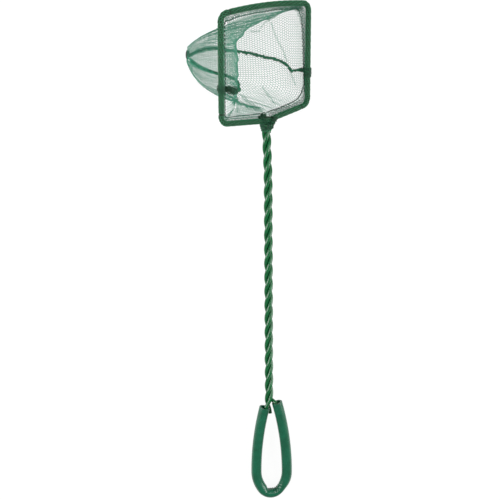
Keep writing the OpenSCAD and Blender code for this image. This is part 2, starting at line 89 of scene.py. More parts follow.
def in_picture(points):
    """The pixels of the picture at which points are seen."""
    seen = turned(points - CAMERA_AIM, "x", CAMERA_LEAN)
    away = CAMERA_DISTANCE - seen[..., 2]
    return np.stack([IMAGE_SIZE / 2 + FOCAL_PIXELS * seen[..., 0] / away,
                     IMAGE_SIZE / 2 - FOCAL_PIXELS * seen[..., 1] / away], -1)


def on_height(pixels, z):
    """The points at a height that are seen at some pixels."""
    x, y = (np.array(pixels, float) - IMAGE_SIZE / 2).T / FOCAL_PIXELS
    ray = turned(np.stack([x, -y, -np.ones(len(x))], -1), "x", -CAMERA_LEAN)
    return camera_place + ray * ((z - camera_place[2]) / ray[:, 2])[:, None]


print("camera at", np.round(camera_place), "mm, lens", round(camera.data.lens, 2), "mm")

# %% [markdown]
# ## Where the wire runs
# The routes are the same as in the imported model, from the same sizes, but with many more
# points, so that the wire looks round and its bends look smooth. The hoop lies turned about
# the handle and lifted at its far end, so its outline is drawn flat first and then turned.

# %% Sizes of the wire, the hoop and the handle
WIRE_R = 1.4
CORE_R = 1.0
TUBE_R = 3.85
TUBE_BORE_R = 2.6
HEM_R = 1.7
HOOP_TOP_W = 74.0
HOOP_BOTTOM_W = 77.0
HOOP_H = 69.0
HOOP_POINT_H = 5.0
HOOP_BOW = 1.7
CORNER_R = 5.5
HOOP_ROLL = 39.0         # degrees, as the next two are
HOOP_PITCH = 19.0
HOOP_YAW = 0.5
HANDLE_LEN = 277.0
HANDLE_LEAN = 0.5        # degrees
HANDLE_BEND = 1.1
HANDLE_BEND_LEN = 45.0
TIP_LEFT = 56.0
TIP_UP = 47.0
MESH_T = 0.6


def unit(vectors):
    vectors = np.asarray(vectors, float)
    return vectors / np.linalg.norm(vectors, axis=-1, keepdims=True)


def on_hoop_axes(points):
    return turned(turned(turned(points, "y", HOOP_ROLL), "x", HOOP_PITCH), "z", HOOP_YAW)


ACROSS, ALONG, OUTWARD = on_hoop_axes(np.eye(3))

# %% [markdown]
# ## The outline of the hoop
# Straight bars between rounded corners, drawn clockwise from its foot, where the handle
# joins. The top bar bows out a little, so its middle is a very shallow corner with a very
# large radius.

# %% The outline of the hoop
TOP_Y = HOOP_POINT_H + HOOP_H
CORNERS = np.array([
    [0, 0],
    [-HOOP_BOTTOM_W / 2, HOOP_POINT_H],
    [-HOOP_TOP_W / 2, TOP_Y],
    [0, TOP_Y + 2 * HOOP_BOW],
    [HOOP_TOP_W / 2, TOP_Y],
    [HOOP_BOTTOM_W / 2, HOOP_POINT_H]])
FOOT, BOTTOM_LEFT, TOP_LEFT, TOP_MIDDLE, TOP_RIGHT, BOTTOM_RIGHT = range(6)
BOW_SHARE = 0.75
BEND_STEPS = 16


def way_to(i):
    """The way that the bar before a corner runs."""
    return unit(CORNERS[i % 6] - CORNERS[(i - 1) % 6])


def bend(i):
    """Points round one corner, and its centre."""
    before, after = way_to(i), way_to(i + 1)
    angle = math.acos(before @ after)
    half_top = np.linalg.norm(CORNERS[TOP_MIDDLE] - CORNERS[TOP_LEFT])
    r = BOW_SHARE * half_top / math.tan(angle / 2) if i == TOP_MIDDLE else CORNER_R
    start = CORNERS[i] - before * r * math.tan(angle / 2)
    centre = start + r * np.array([before[1], -before[0]])
    angles = math.atan2(*(start - centre)[::-1]) - np.linspace(0, angle, BEND_STEPS)
    return centre + r * np.stack([np.cos(angles), np.sin(angles)], 1), centre


def runs_of(points):
    """How far along a line each of its points is."""
    return np.append(0, np.cumsum(np.linalg.norm(np.diff(points, axis=0), axis=1)))


def along(run, runs, points):
    """What a line's points come to at some runs along it."""
    return np.stack([np.interp(run, runs, column) for column in points.T], -1)


OUTLINE = np.concatenate([CORNERS[:1], *(bend(i)[0] for i in range(1, 6)), CORNERS[:1]])
OUTLINE_RUN = runs_of(OUTLINE)
OUTLINE_LEN = OUTLINE_RUN[-1]


def hoop_at(run):
    """The point of the flat outline at a distance round it from the foot."""
    return along(np.mod(run, OUTLINE_LEN), OUTLINE_RUN, OUTLINE)


# %% Where the hoop, the handle and the grip lie
lowest = bend(BOTTOM_RIGHT)[1]
foot_z = HEM_R + CORNER_R * math.hypot(ACROSS[2], ALONG[2]) - lowest @ [ACROSS[2], ALONG[2]]
handle_rise = math.degrees(math.asin((foot_z - TUBE_R) / HANDLE_LEN))


def on_handle_axes(points):
    return turned(turned(points, "x", handle_rise), "z", HANDLE_LEAN)


whole_y = (TUBE_R + HANDLE_LEN * math.cos(math.radians(handle_rise))
           + (HOOP_POINT_H + HOOP_H) * ALONG[1] + HOOP_TOP_W / 2 * ACROSS[1] + HEM_R)
foot_from_end = on_handle_axes([-HANDLE_BEND, HANDLE_LEN, 0])
foot_x = (TIP_LEFT + MESH_T / 2 - HOOP_BOTTOM_W / 2 * ACROSS[0] - HEM_R) / 2
GRIP_END = np.array([foot_x - foot_from_end[0], TUBE_R - whole_y / 2, TUBE_R])
FOOT_PLACE = GRIP_END + foot_from_end


def hoop_place(points, out=0.0):
    """Points of the flat outline, set in place and lifted off the hoop's plane by out."""
    points = np.asarray(points, float)
    lift = np.full(points.shape[:-1] + (1,), out)
    return FOOT_PLACE + on_hoop_axes(np.concatenate([points, lift], -1))


def handle_place(points):
    return GRIP_END + on_handle_axes(points)


print("outline of the hoop:", round(OUTLINE_LEN, 1), "mm, foot at", np.round(FOOT_PLACE, 2))

# %% [markdown]
# ## Making a wire
# A real wire is one round section swept along a line. A curve object does the same: its
# points are the line, and its bevel is the section. It is then turned into a mesh, because
# a mesh keeps its place in its own points, and the doubles at its caps are merged.

# %% A wire along points
MERGE = 0.01             # doubled points are closer than this


def linked(name, data):
    """A new object in the scene."""
    piece = bpy.data.objects.new(name, data)
    bpy.context.scene.collection.objects.link(piece)
    return piece


def only(piece):
    """Leaves one object selected and active, as the operators need."""
    bpy.ops.object.select_all(action="DESELECT")
    piece.select_set(True)
    bpy.context.view_layer.objects.active = piece


def tidy_mesh(piece):
    """Merges doubled points, turns the faces outwards and shades them smooth."""
    only(piece)
    bpy.ops.object.mode_set(mode="EDIT")
    bpy.ops.mesh.select_all(action="SELECT")
    bpy.ops.mesh.remove_doubles(threshold=MERGE * MM)
    bpy.ops.mesh.normals_make_consistent(inside=False)
    bpy.ops.object.mode_set(mode="OBJECT")
    bpy.ops.object.shade_smooth()
    return piece


def wires(name, lines, radius, sides=8):
    """One mesh of round wires along lists of points."""
    curve = bpy.data.curves.new(name, "CURVE")
    curve.dimensions = "3D"
    curve.bevel_mode = "ROUND"
    curve.bevel_depth = radius * MM
    curve.bevel_resolution = max(sides // 4 - 1, 0)
    curve.use_fill_caps = True
    for points in lines:
        spline = curve.splines.new("POLY")
        spline.points.add(len(points) - 1)
        spline.points.foreach_set("co", np.c_[points * MM, np.ones(len(points))].ravel())
    only(linked(name, curve))
    bpy.ops.object.convert(target="MESH")
    return tidy_mesh(bpy.context.object)


def count(piece):
    piece.data.calc_loop_triangles()
    return len(piece.data.loop_triangles)


# %% [markdown]
# ## The twisted handle
# Three strands wind round each other like a rope. Each is a helix about the handle's line,
# a third of a turn from the next, with smooth leads in and out: two strands come off the
# hoop, two run into the tube of the grip, and one ends in a cut, where the steel shows.

# %% Sizes of the twist
TWIST_TURNS = 6.44
TWIST_TOP = 4.5
NECK = HANDLE_LEN - 76
TOP_ANGLE = 254.0
STRAND_FIT = 0.05
TURN_RINGS = 8
ORBIT_R = (WIRE_R + STRAND_FIT / 2) / math.cos(math.pi / 6) / math.cos(math.pi / TURN_RINGS)
LEAD_SHARE = 0.4
LEAD_STEPS = 14
TWIST_STEPS = 210
END_STUB = 1.0
TAIL_GAP = 5.0
RETURN_END = (3.2, HANDLE_LEN - 3, 5)
RETURN_END_WAY = (-0.97, -0.2, 0)
CUT_END = (0.9, 62.5, -3.2)
CUT_END_WAY = (0.1, -0.98, 0.2)
twist_lead = (NECK - TWIST_TOP) / TWIST_TURNS


# %% The routes of the strands
def line_at(down):
    """The handle's own line, bent a little near the hoop."""
    t = np.maximum(0, 1 - down / HANDLE_BEND_LEN)
    return np.stack([-HANDLE_BEND * t * t * (3 - 2 * t), HANDLE_LEN - down, 0 * down], -1)


def strand_at(number, down):
    a = np.radians(TOP_ANGLE + 120 * number + 360 * (down - TWIST_TOP) / twist_lead)
    return line_at(down) + ORBIT_R * np.stack([np.cos(a), 0 * a, np.sin(a)], -1)


def strand_way(number, down, nudge=0.1):
    return unit(strand_at(number, down + nudge) - strand_at(number, down - nudge))


def bezier(a, b, c, d, t):
    t = t[..., None]
    return a * (1 - t) ** 3 + b * 3 * t * (1 - t) ** 2 + c * 3 * t * t * (1 - t) + d * t ** 3


def lead(a, a_way, b, b_way):
    """A smooth curve from one end and direction to another."""
    reach = np.linalg.norm(b - a) * LEAD_SHARE
    return bezier(a, a + unit(a_way) * reach, b - unit(b_way) * reach, b,
                  np.linspace(0, 1, LEAD_STEPS))


def strand_route(number, start, start_way, stop, stop_way):
    """One strand, from its start and way, through the twist, to its stop and way."""
    top, foot = (handle_place(strand_at(number, d)) for d in (TWIST_TOP, NECK))
    top_way, foot_way = (on_handle_axes(strand_way(number, d)) for d in (TWIST_TOP, NECK))
    twist = handle_place(strand_at(number, np.linspace(TWIST_TOP, NECK, TWIST_STEPS)))
    return np.concatenate([
        [start], lead(start + unit(start_way) * END_STUB, start_way, top, top_way)[:-1], twist,
        lead(foot, foot_way, stop - unit(stop_way) * END_STUB, stop_way)[1:], [stop]])


# %% [markdown]
# ## The loop of the grip
# The loop is a teardrop: a tight bend at its end, a shoulder on each side, and two long,
# nearly straight limbs that meet at the neck. All five are arcs. The wire lies against the
# inner side of the tube, as it does where a tube is pulled round a bend.

# %% Sizes and route of the grip
GRIP_W = 22.8
GRIP_END_R = 8.5
GRIP_SIDE_R = 215.0
GRIP_LEFT_LEN = 69.5
GRIP_RIGHT_LEN = 73.5
GRIP_SHIFT = 1.7
GRIP_LIFT = 2.0          # degrees
END_HALF_ANGLE = 55.0
SEAT_GAP = 0.3
WIRE_IN = TUBE_BORE_R - WIRE_R - SEAT_GAP
WIRE_RUN_IN = 2.5
SIDE_STEPS, SHOULDER_STEPS, END_STEPS = 40, 14, 30

end_sin = math.sin(math.radians(END_HALF_ANGLE))
shoulder_r = (GRIP_W / 2 - GRIP_END_R * end_sin) / (1 - end_sin)
shoulder_y = GRIP_END_R + (shoulder_r - GRIP_END_R) * math.cos(math.radians(END_HALF_ANGLE))
shoulder_x = GRIP_W / 2 - shoulder_r
side_x = GRIP_W / 2 - GRIP_SIDE_R


def on_grip_axes(points):
    return on_handle_axes(turned(points, "x", GRIP_LIFT))


def grip_place(points):
    return GRIP_END + on_grip_axes(points)


def side_angle(length):
    """How far round its arc a limb of some length reaches, in degrees."""
    return math.degrees(math.asin((length - shoulder_y) / GRIP_SIDE_R))


def grip_line(left_len, right_len):
    """The middle of the tube, from the left mouth round to the right one."""
    turn = 90 - END_HALF_ANGLE
    arcs = [(-side_x, shoulder_y, GRIP_SIDE_R, 180 - side_angle(left_len), 180, SIDE_STEPS),
            (-shoulder_x, shoulder_y, shoulder_r, 180, 180 + turn, SHOULDER_STEPS),
            (0, GRIP_END_R, GRIP_END_R, 180 + turn, 360 - turn, END_STEPS),
            (shoulder_x, shoulder_y, shoulder_r, 360 - turn, 360, SHOULDER_STEPS),
            (side_x, shoulder_y, GRIP_SIDE_R, 0, side_angle(right_len), SIDE_STEPS)]
    lines = []
    for x, y, r, start, stop, steps in arcs:
        a = np.radians(np.linspace(start, stop, steps))
        lines.append(np.stack([GRIP_SHIFT + x + r * np.cos(a), y + r * np.sin(a), 0 * a], 1))
    return np.concatenate([line[:-1] for line in lines] + [lines[-1][-1:]])


def tube_mouth(hand, length):
    """Where a strand meets the wire inside the tube, and the way it runs there."""
    angle = math.radians(side_angle(length - WIRE_RUN_IN))
    c, s, r = math.cos(angle), math.sin(angle), GRIP_SIDE_R - WIRE_IN
    mouth = [GRIP_SHIFT + hand * (side_x + r * c), shoulder_y + r * s, 0]
    return grip_place(mouth), on_grip_axes([hand * s, -c, 0])


# %% The three strands
CORE_PROUD = 0.15        # the steel stands out of its coating at a cut end


def hoop_tail(i):
    """The start of a tail near the foot of the hoop, and the way it runs on."""
    way = way_to(BOTTOM_LEFT) if i == 0 else -way_to(FOOT)
    return hoop_place(way * TAIL_GAP), on_hoop_axes([-way[0], -way[1], 0])


STRAND_ROUTES = {
    "left_strand": strand_route(0, *hoop_tail(0), *tube_mouth(-1, GRIP_LEFT_LEN)),
    "right_strand": strand_route(1, *hoop_tail(1), handle_place(CUT_END),
                                 on_handle_axes(CUT_END_WAY)),
    "return_strand": strand_route(2, handle_place(RETURN_END), on_handle_axes(RETURN_END_WAY),
                                  *tube_mouth(1, GRIP_RIGHT_LEN))}
coatings, cores = {}, {}
for name, route in STRAND_ROUTES.items():
    coatings[name] = wires(name + "_coat", [route], WIRE_R, 20)
    core_route = route.copy()
    core_route[-1] += unit(route[-1] - route[-2]) * CORE_PROUD
    cores[name] = wires(name + "_steel", [core_route], CORE_R, 12)
    print(name, round(runs_of(route)[-1], 1), "mm,", count(coatings[name]), "triangles")

# %% [markdown]
# ## The tube of the grip
# Soft vinyl tube keeps its round section along the limbs, but at the tight end bend its
# inner side has nowhere to go. It kinks in two places and folds into small wrinkles, and the
# section flattens there. So the tube is built ring by ring, and each ring's radius and
# shape follow the bend: smooth outside, wrinkled inside.

# %% The tube
TUBE_SIDES = 48
TUBE_RINGS = 420
KINKS = [  # share of the way round the end bend, depth and width in mm, number of wrinkles
    (0.27, 1.25, 2.4, 1),
    (0.80, 1.1, 5.2, 4)]
ELBOW = (0.93, 1.5, 6.5)   # where the outside is flattened: share, depth and width
KINK_FROM, KINK_TO = -60, 60   # degrees round the end bend, between which the shares count
SOFT_SIDE = 1.5          # how sharply a kink keeps to its own side of the tube
NOT_ON_BEND = 999


def resampled(points, n):
    """The same line with evenly spaced points, and their runs."""
    points = np.asarray(points, float)
    run = runs_of(points)
    even = np.linspace(0, run[-1], n)
    return along(even, run, points), even


def frames(points, first):
    """Unit tangents, and two unit vectors square to them that turn as little as they can."""
    way = unit(np.gradient(points, axis=0))
    side = np.zeros_like(way)
    s = np.asarray(first, float)
    for i, w in enumerate(way):
        s = unit(s - (s @ w) * w)
        side[i] = s
    return way, side, np.cross(way, side)


def mesh_of(name, points, faces):
    """A mesh object from points in millimetres."""
    mesh = bpy.data.meshes.new(name)
    mesh.from_pydata((np.asarray(points).reshape(-1, 3) * MM).tolist(), [], faces)
    mesh.update()
    return linked(name, mesh)


def ring_faces(rows, columns, around=False):
    """The faces between rings of points, and from the last ring to the first if around."""
    return [(r * columns + c, r * columns + (c + 1) % columns,
             (r + 1) % rows * columns + (c + 1) % columns, (r + 1) % rows * columns + c)
            for r in range(rows if around else rows - 1) for c in range(columns)]


def tube_skin(r):
    """The rings of the tube's outer or inner skin."""
    line, run = resampled(grip_place(grip_line(GRIP_LEFT_LEN, GRIP_RIGHT_LEN)), TUBE_RINGS)
    _, inward, up = frames(line, on_grip_axes([1, 0, 0]))
    flat = turned(turned(line - GRIP_END, "z", -HANDLE_LEAN), "x", -handle_rise - GRIP_LIFT)
    round_end = np.degrees(np.arctan2(flat[:, 0] - GRIP_SHIFT, GRIP_END_R - flat[:, 1]))
    round_end[flat[:, 1] > shoulder_y] = NOT_ON_BEND
    start, stop = (run[np.argmin(np.abs(round_end - a))] for a in (KINK_FROM, KINK_TO))
    angle = np.linspace(0, 2 * math.pi, TUBE_SIDES, endpoint=False)
    radius = np.full((TUBE_RINGS, TUBE_SIDES), float(r))
    for share, depth, width, wrinkles in KINKS:
        off = (run - (start + share * (stop - start))) / width
        ripple = np.cos(off * math.pi * wrinkles) if wrinkles > 1 else 1
        hollow = depth * np.exp(-off ** 2) * (1 + ripple) / 2
        radius -= hollow[:, None] * np.maximum(0, np.cos(angle)) ** SOFT_SIDE
    share, depth, width = ELBOW
    hollow = depth * np.exp(-((run - (start + share * (stop - start))) / width) ** 2)
    radius -= hollow[:, None] * np.maximum(0, -np.cos(angle)) ** SOFT_SIDE
    return (line[:, None] + (radius * np.cos(angle))[..., None] * inward[:, None]
            + (radius * np.sin(angle))[..., None] * up[:, None])


skins = np.concatenate([tube_skin(TUBE_R), tube_skin(TUBE_BORE_R)[::-1]])
tube = tidy_mesh(mesh_of("soft_grip_tube", skins, ring_faces(len(skins), TUBE_SIDES, True)))
print("tube:", count(tube), "triangles")

# %% [markdown]
# ## The surface of the bag
# Every thread of the bag starts at the hem, hangs down and tucks in under the hoop, spreads
# into the cone that lies on the table, and ends at the tip. A cubic curve follows it well.
# The surface is a function of two numbers: the run round the hoop and the share of the way
# down to the tip.

# %% The sizes of the bag
HEM_FIT = 0.05
KNOT_SHARE = 0.33        # of a side bar's length, up to the tie
TUCK_SHARE = 0.45        # how far in the netting sags, as a share of the rim's height
TUCKS = [  # how much further in some stretches of it sag: middle, width, share
    (38.0, 26.0, 0.36),
    (2.0, 20.0, 0.12),
    (137.0, 17.0, -0.18),
    (164.0, 11.0, 0.07)]
DROP_SHARE = 0.72
SKIRT_IN = 3.9           # the stiff double edge first stands in from the wire, in its plane
SKIRT_WAY = 0.025
SKIRT_FADE = 0.33
SKIRT_LESS_BACK = 0.7    # of it that is missing at the right bar, where netting hangs down
SKIRT_EASE = 0.7
SKIRT_FROM, SKIRT_FULL = 4.0, 16.0   # heights of the rim at which it starts and is full
TIP_W = 9.0
TIP_H = 3.0
CONE_UP_SIDE, CONE_UP_BACK = 19.0, 15.0
CONE_DOWN_SIDE, CONE_DOWN_BACK = 36.0, 10.0
CONE_H = 26.0
FLOOR_SLACK = 10.0
SIDE_SLACK = 4.0
THREAD_LOW = 0.12        # the lowest that a thread's middle lies
RIM_STEP = 0.6           # steps either way that measure the way along the rim,
RUN_STEP = 0.4           # round the bag
WAY_STEP = 0.004         # and down to the tip
MOUTH_MIDDLE = np.array([0, HOOP_POINT_H + HOOP_H / 2])
TIP = np.array([FOOT_PLACE[0] - TIP_LEFT, FOOT_PLACE[1] + TIP_UP, (TIP_H + MESH_T) / 2])


def run_of(point):
    """The run of the outline's point nearest to a flat point."""
    runs = np.linspace(0, OUTLINE_LEN, 4001)
    return runs[np.argmin(np.linalg.norm(hoop_at(runs) - point, axis=1))]


LEFT_RUN, RIGHT_RUN = (
    run_of(CORNERS[low] + (CORNERS[high] - CORNERS[low]) * KNOT_SHARE)
    for low, high in ((BOTTOM_LEFT, TOP_LEFT), (BOTTOM_RIGHT, TOP_RIGHT)))
BEND_ENDS = {i: run_of(bend(i)[0][-1]) for i in range(1, 6)}
middle_place = hoop_place(MOUTH_MIDDLE)
print("the ties are", round(LEFT_RUN, 1), "and", round(RIGHT_RUN, 1), "mm round the hoop")


# %% The surface of the bag
def near(x, middle, width):
    """A smooth bump, 1 in the middle and small a width and a half away."""
    return np.exp(-((x - middle) / width) ** 2)


def round_gap(run, middle):
    """How far a run is past another one, the short way round the hoop."""
    return np.mod(run - middle + OUTLINE_LEN / 2, OUTLINE_LEN) - OUTLINE_LEN / 2


def rim_inward(run):
    """Square to the wire, in the hoop's plane, to its inside."""
    way = unit(hoop_at(run + RIM_STEP) - hoop_at(run - RIM_STEP))
    return on_hoop_axes(np.stack([way[..., 1], -way[..., 0], 0 * way[..., 0]], -1))


def bag_point(run, t):
    """The point of the bag at a run round the hoop and a share of the way to the tip."""
    flat = hoop_at(run)
    rim = hoop_place(flat, -(HEM_R + HEM_FIT))
    rim[..., 2] = np.maximum(rim[..., 2], THREAD_LOW)
    inward = unit((middle_place - rim) * [1, 1, 0])
    offset = unit(flat - MOUTH_MIDDLE)
    back, side = offset[..., 0], offset[..., 1]
    tip = TIP + np.stack([0 * side, side * TIP_W / 2, -back * TIP_H / 2], -1)
    cone = TIP + np.stack([
        CONE_DOWN_BACK + (CONE_UP_BACK - CONE_DOWN_BACK) * (1 + side) / 2,
        side * np.where(side > 0, CONE_UP_SIDE, CONE_DOWN_SIDE),
        (1 - back) * CONE_H / 2 - TIP_H / 2], -1)
    depth = rim[..., 2:]
    tuck = TUCK_SHARE + sum(more * near(round_gap(run, at), 0, wide) for at, wide, more in TUCKS)
    down = rim + inward * tuck[..., None] * depth - np.array([0, 0, DROP_SHARE]) * depth
    p = bezier(rim, down, cone, tip, t)
    skirt = SKIRT_IN * (1 - np.exp(-t / SKIRT_WAY)) * np.exp(-(t / SKIRT_FADE) ** 2)
    skirt = skirt * np.clip((rim[..., 2] - SKIRT_FROM) / (SKIRT_FULL - SKIRT_FROM), 0, 1)
    skirt = skirt * (1 - SKIRT_LESS_BACK * np.clip(back, 0, 1) ** SKIRT_EASE)
    p += skirt[..., None] * rim_inward(run)
    p[..., 1] += back * np.where(back > 0, FLOOR_SLACK, SIDE_SLACK) * 4 * t * (1 - t)
    p[..., 2] = np.maximum(p[..., 2], THREAD_LOW)
    return p


def bag_inward(run, t):
    """The bag's unit normal that points to its inside."""
    round_way = bag_point(run + RUN_STEP, t) - bag_point(run - RUN_STEP, t)
    down_way = (bag_point(run, np.minimum(t + WAY_STEP, 1))
                - bag_point(run, np.maximum(t - WAY_STEP, 0)))
    return unit(np.cross(down_way, round_way))


# %% [markdown]
# ## Creases
# Slack netting never lies smooth. Fine folds run from the gathers at the hem to the tip, and
# they are deeper where the netting hangs free than where it lies on the table. Four waves
# round the hoop that don't keep step look irregular enough, and stay the same each time.

# %% Creases
CREASES = [  # length of the wave round the hoop in mm, height in mm, drift on the way down
    (17.3, 0.4, 1.9),
    (9.1, 0.38, -1.2),
    (5.3, 0.3, 0.7),
    (3.7, 0.2, -0.4)]
CREASE_PHASE = 1.7
CREASE_EASE = 0.7
FREE_HEIGHT = 14.0       # above this height the netting hangs free
ON_TABLE_SHARE = 0.35


def creased(run, t):
    """The bag's surface with its creases, and its inward normal."""
    p = bag_point(run, t)
    n = bag_inward(run, t)
    lift = 0
    for k, (wave, height, drift) in enumerate(CREASES):
        turns = OUTLINE_LEN / round(OUTLINE_LEN / wave)
        lift = lift + height * np.sin(2 * math.pi * (run / turns + drift * t) + CREASE_PHASE * k)
    free = ON_TABLE_SHARE + (1 - ON_TABLE_SHARE) * np.clip(p[..., 2] / FREE_HEIGHT, 0, 1)
    p = p + n * (lift * np.sin(math.pi * t) ** CREASE_EASE * free)[..., None]
    p[..., 2] = np.maximum(p[..., 2], THREAD_LOW)
    return p, n


# %% [markdown]
# ## Where the seams run
# The two side seams don't run straight from their ties to the tip: the slack bag has pulled
# them aside. So each seam has a few shares of the way at which it is so many millimetres
# further round the hoop than its tie. The panels are cut between the two seams.

# %% The lines of the seams
LEFT_SEAM = [  # share of the way to the tip, millimetres further round the hoop
    (0, 0), (0.06, -3), (0.12, -7), (0.2, -8.5), (0.28, -5.5), (0.36, -2), (0.5, -2),
    (0.65, -3), (0.85, -3), (1, 0)]
RIGHT_SEAM = [
    (0, 0), (0.08, 1), (0.16, 4), (0.22, 6), (0.27, 2), (0.33, 0.5), (0.42, 0), (0.5, -2),
    (0.57, -3), (0.63, -4), (0.72, -7), (0.8, -7.5), (0.87, -6.5), (0.94, -3), (1, 0)]
EASE_STEPS = 401
EASE_OVER = 13           # of these steps, so that a seam has no corners


def seam_run(line, tie_run, t):
    """The run of a seam at a share of the way to the tip."""
    fine = np.linspace(0, 1, EASE_STEPS)
    offsets = np.pad(np.interp(fine, *zip(*line)), EASE_OVER // 2, mode="edge")
    window = np.hanning(EASE_OVER + 2)[1:-1]
    eased = np.convolve(offsets, window / window.sum(), mode="valid")
    return tie_run + np.interp(t, fine, eased)


def left_seam_run(t):
    return seam_run(LEFT_SEAM, LEFT_RUN, t)


def right_seam_run(t):
    return seam_run(RIGHT_SEAM, RIGHT_RUN, t)


wander = np.ptp(right_seam_run(np.linspace(0, 1, EASE_STEPS)))
print("on the way the right seam wanders", round(wander, 1), "mm")

# %% [markdown]
# ## Netting
# Fish netting is knitted, and its cells are hexagons a little over a millimetre wide. A flat
# sheet of such cells is made first: the points of a grid, with every other rung left out and
# each point moved up or down in turn. It is cut to shape and laid in place, and the
# Wireframe modifier turns each side of a cell into a thread.

# %% A flat sheet of netting, and threads from its cells
CELL = 1.7               # across a cell; the real one is 1.15, too fine to show here
THREAD_W = 0.29          # in the same proportion to the cell as the real thread


def cells(width, length, cell):
    """Points and six-sided faces of a flat sheet of hexagonal cells, centred across."""
    side = cell / math.sqrt(3)
    columns = int(width / (cell / 2)) + 2
    rows = int(length / (1.5 * side)) + 2
    i, j = np.meshgrid(np.arange(columns), np.arange(rows))
    x = (i - (columns - 1) / 2) * cell / 2
    y = j * 1.5 * side + np.where((i + j) % 2 == 0, side / 4, -side / 4)
    faces = []
    for row in range(rows - 1):
        for left in range(row % 2, columns - 2, 2):
            a, b = row * columns + left, (row + 1) * columns + left
            faces.append((a, a + 1, a + 2, b + 2, b + 1, b))
    return np.stack([x.ravel(), y.ravel()], 1), faces


def netting_of(name, width, length, place, cell=CELL, thread=THREAD_W, half=None):
    """Netting cut to a length, and to a half width at each point down, laid and knitted."""
    points, faces = cells(width, length, cell)
    x, down = points.T
    keep = (down >= 0) & (down <= length)
    if half:
        keep &= np.abs(x) <= half(down)
    kept = [f for f in faces if keep[list(f)].all()]
    used = np.unique(np.concatenate(kept))
    new = np.full(len(points), -1)
    new[used] = np.arange(len(used))
    piece = mesh_of(name, place(x[used], down[used]), [tuple(new[list(f)]) for f in kept])
    only(piece)
    wire = piece.modifiers.new("threads", "WIREFRAME")
    wire.thickness = thread * MM
    wire.use_even_offset = False
    wire.use_boundary = True
    wire.use_replace = True
    bpy.ops.object.modifier_apply(modifier=wire.name)
    bpy.ops.object.shade_smooth()
    return piece


# %% The two panels of the bag
T_STEPS = 180
RUN_STEPS = 300
WIDER_AT_TIP = 0.45      # how much wider than the surface the netting is cut there
WIDER_FROM = 0.3         # share of the way to the tip
SPARE_CELLS = 4


def between(grid, row, column):
    """Points of a grid of points, at rows and columns that aren't whole numbers."""
    r = np.clip(row.astype(int), 0, grid.shape[0] - 2)
    c = np.clip(column.astype(int), 0, grid.shape[1] - 2)
    down, across = (row - r)[:, None], (column - c)[:, None]
    return ((grid[r, c] * (1 - across) + grid[r, c + 1] * across) * (1 - down)
            + (grid[r + 1, c] * (1 - across) + grid[r + 1, c + 1] * across) * down)


def panel(name, start, stop):
    """One panel between two seams, cut flat and laid on the bag's surface."""
    t = np.linspace(0, 1, T_STEPS)[:, None]
    runs = start(t) + (stop(t) - start(t)) * np.linspace(0, 1, RUN_STEPS)
    surface, _ = creased(runs, np.broadcast_to(t, runs.shape))
    even, widths = [], []
    for row in surface:
        row, run = resampled(row, RUN_STEPS)
        even.append(row)
        widths.append(run[-1])
    even = np.array(even)
    step = np.linalg.norm(np.diff(even, axis=0), axis=2).mean(1)
    length = np.append(0, np.cumsum(step))
    wider = WIDER_AT_TIP * np.clip((t[:, 0] - WIDER_FROM) / (1 - WIDER_FROM), 0, 1)
    cut = np.array(widths) * (1 + wider)

    def place(x, down):
        row = np.interp(down, length, np.arange(T_STEPS))
        share = x / np.interp(down, length, cut) + 0.5
        return between(even, row, share * (RUN_STEPS - 1))

    piece = netting_of(name, cut.max() + SPARE_CELLS * CELL, length[-1], place,
                       half=lambda down: np.interp(down, length, cut) / 2)
    print(name, "cut", round(cut.max(), 1), "x", round(length[-1], 1), "mm,",
          count(piece), "triangles")
    return piece, cut.max(), length[-1]


upper_net, upper_w, upper_l = panel("bag_net_upper", left_seam_run, right_seam_run)
lower_net, lower_w, lower_l = panel(
    "bag_net_lower", lambda t: right_seam_run(t) - OUTLINE_LEN, left_seam_run)

# %% [markdown]
# ## The skirt below the hem
# Between the hem and its line of stitches the netting is double, because its edge is rolled
# round the wire and sewn down. A table of points below the rim serves the second layer, the
# stitches and the zigzag thread that keeps the edge from fraying.

# %% A table of points below the rim
SKIRT_RUNS = 720
SKIRT_ROWS = 60
SKIRT_DEEP = 14.0
SKIRT_SHARE, SKIRT_STEPS = 0.6, 160   # of the way to the tip, and the points on it

surface = np.concatenate(creased(*np.meshgrid(
    np.linspace(0, OUTLINE_LEN, SKIRT_RUNS), np.linspace(0, SKIRT_SHARE, SKIRT_STEPS))), 2)
skirt = np.stack([
    along(np.linspace(0, SKIRT_DEEP, SKIRT_ROWS), runs_of(line[:, :3]), line)
    for line in surface.swapaxes(0, 1)], 1)


def below_rim(run, depth, lift):
    """Points at a depth below the rim, lifted off the netting to the bag's inside."""
    run = np.mod(run, OUTLINE_LEN)
    both = between(skirt, depth / SKIRT_DEEP * (SKIRT_ROWS - 1),
                   run / OUTLINE_LEN * (SKIRT_RUNS - 1))
    out = both[:, :3] + both[:, 3:] * np.broadcast_to(lift, run.shape)[:, None]
    out[:, 2] = np.maximum(out[:, 2], THREAD_LOW)
    return out


# %% The double edge
BAND_DOWN = 5.2
BAND_LIFT = 0.5
BAND_SHARES = [  # run, and depth of the double edge there as a share of the usual one
    (0, 1), (100, 1), (109, 1.4), (118, 1), (168, 1), (177, 1.5), (187, 0.85), (196, 0.6),
    (234, 0.6), (245, 1.3), (256, 1), (OUTLINE_LEN, 1)]
SPARE_LIFT = 1.1         # of the spare netting that hangs inside the mouth
SPARE_LOWER = (3.0, 40.0, 12.5)      # where it starts and stops, and how far down it reaches
SPARE_UPPER = (106.0, 140.0, 7.5)
SPARE_CORNER = (152.0, 190.0, 6.8)


def band_share(run):
    """How deep the double edge is at a run, as a share of the usual depth."""
    return np.interp(np.mod(run, OUTLINE_LEN), *zip(*BAND_SHARES))


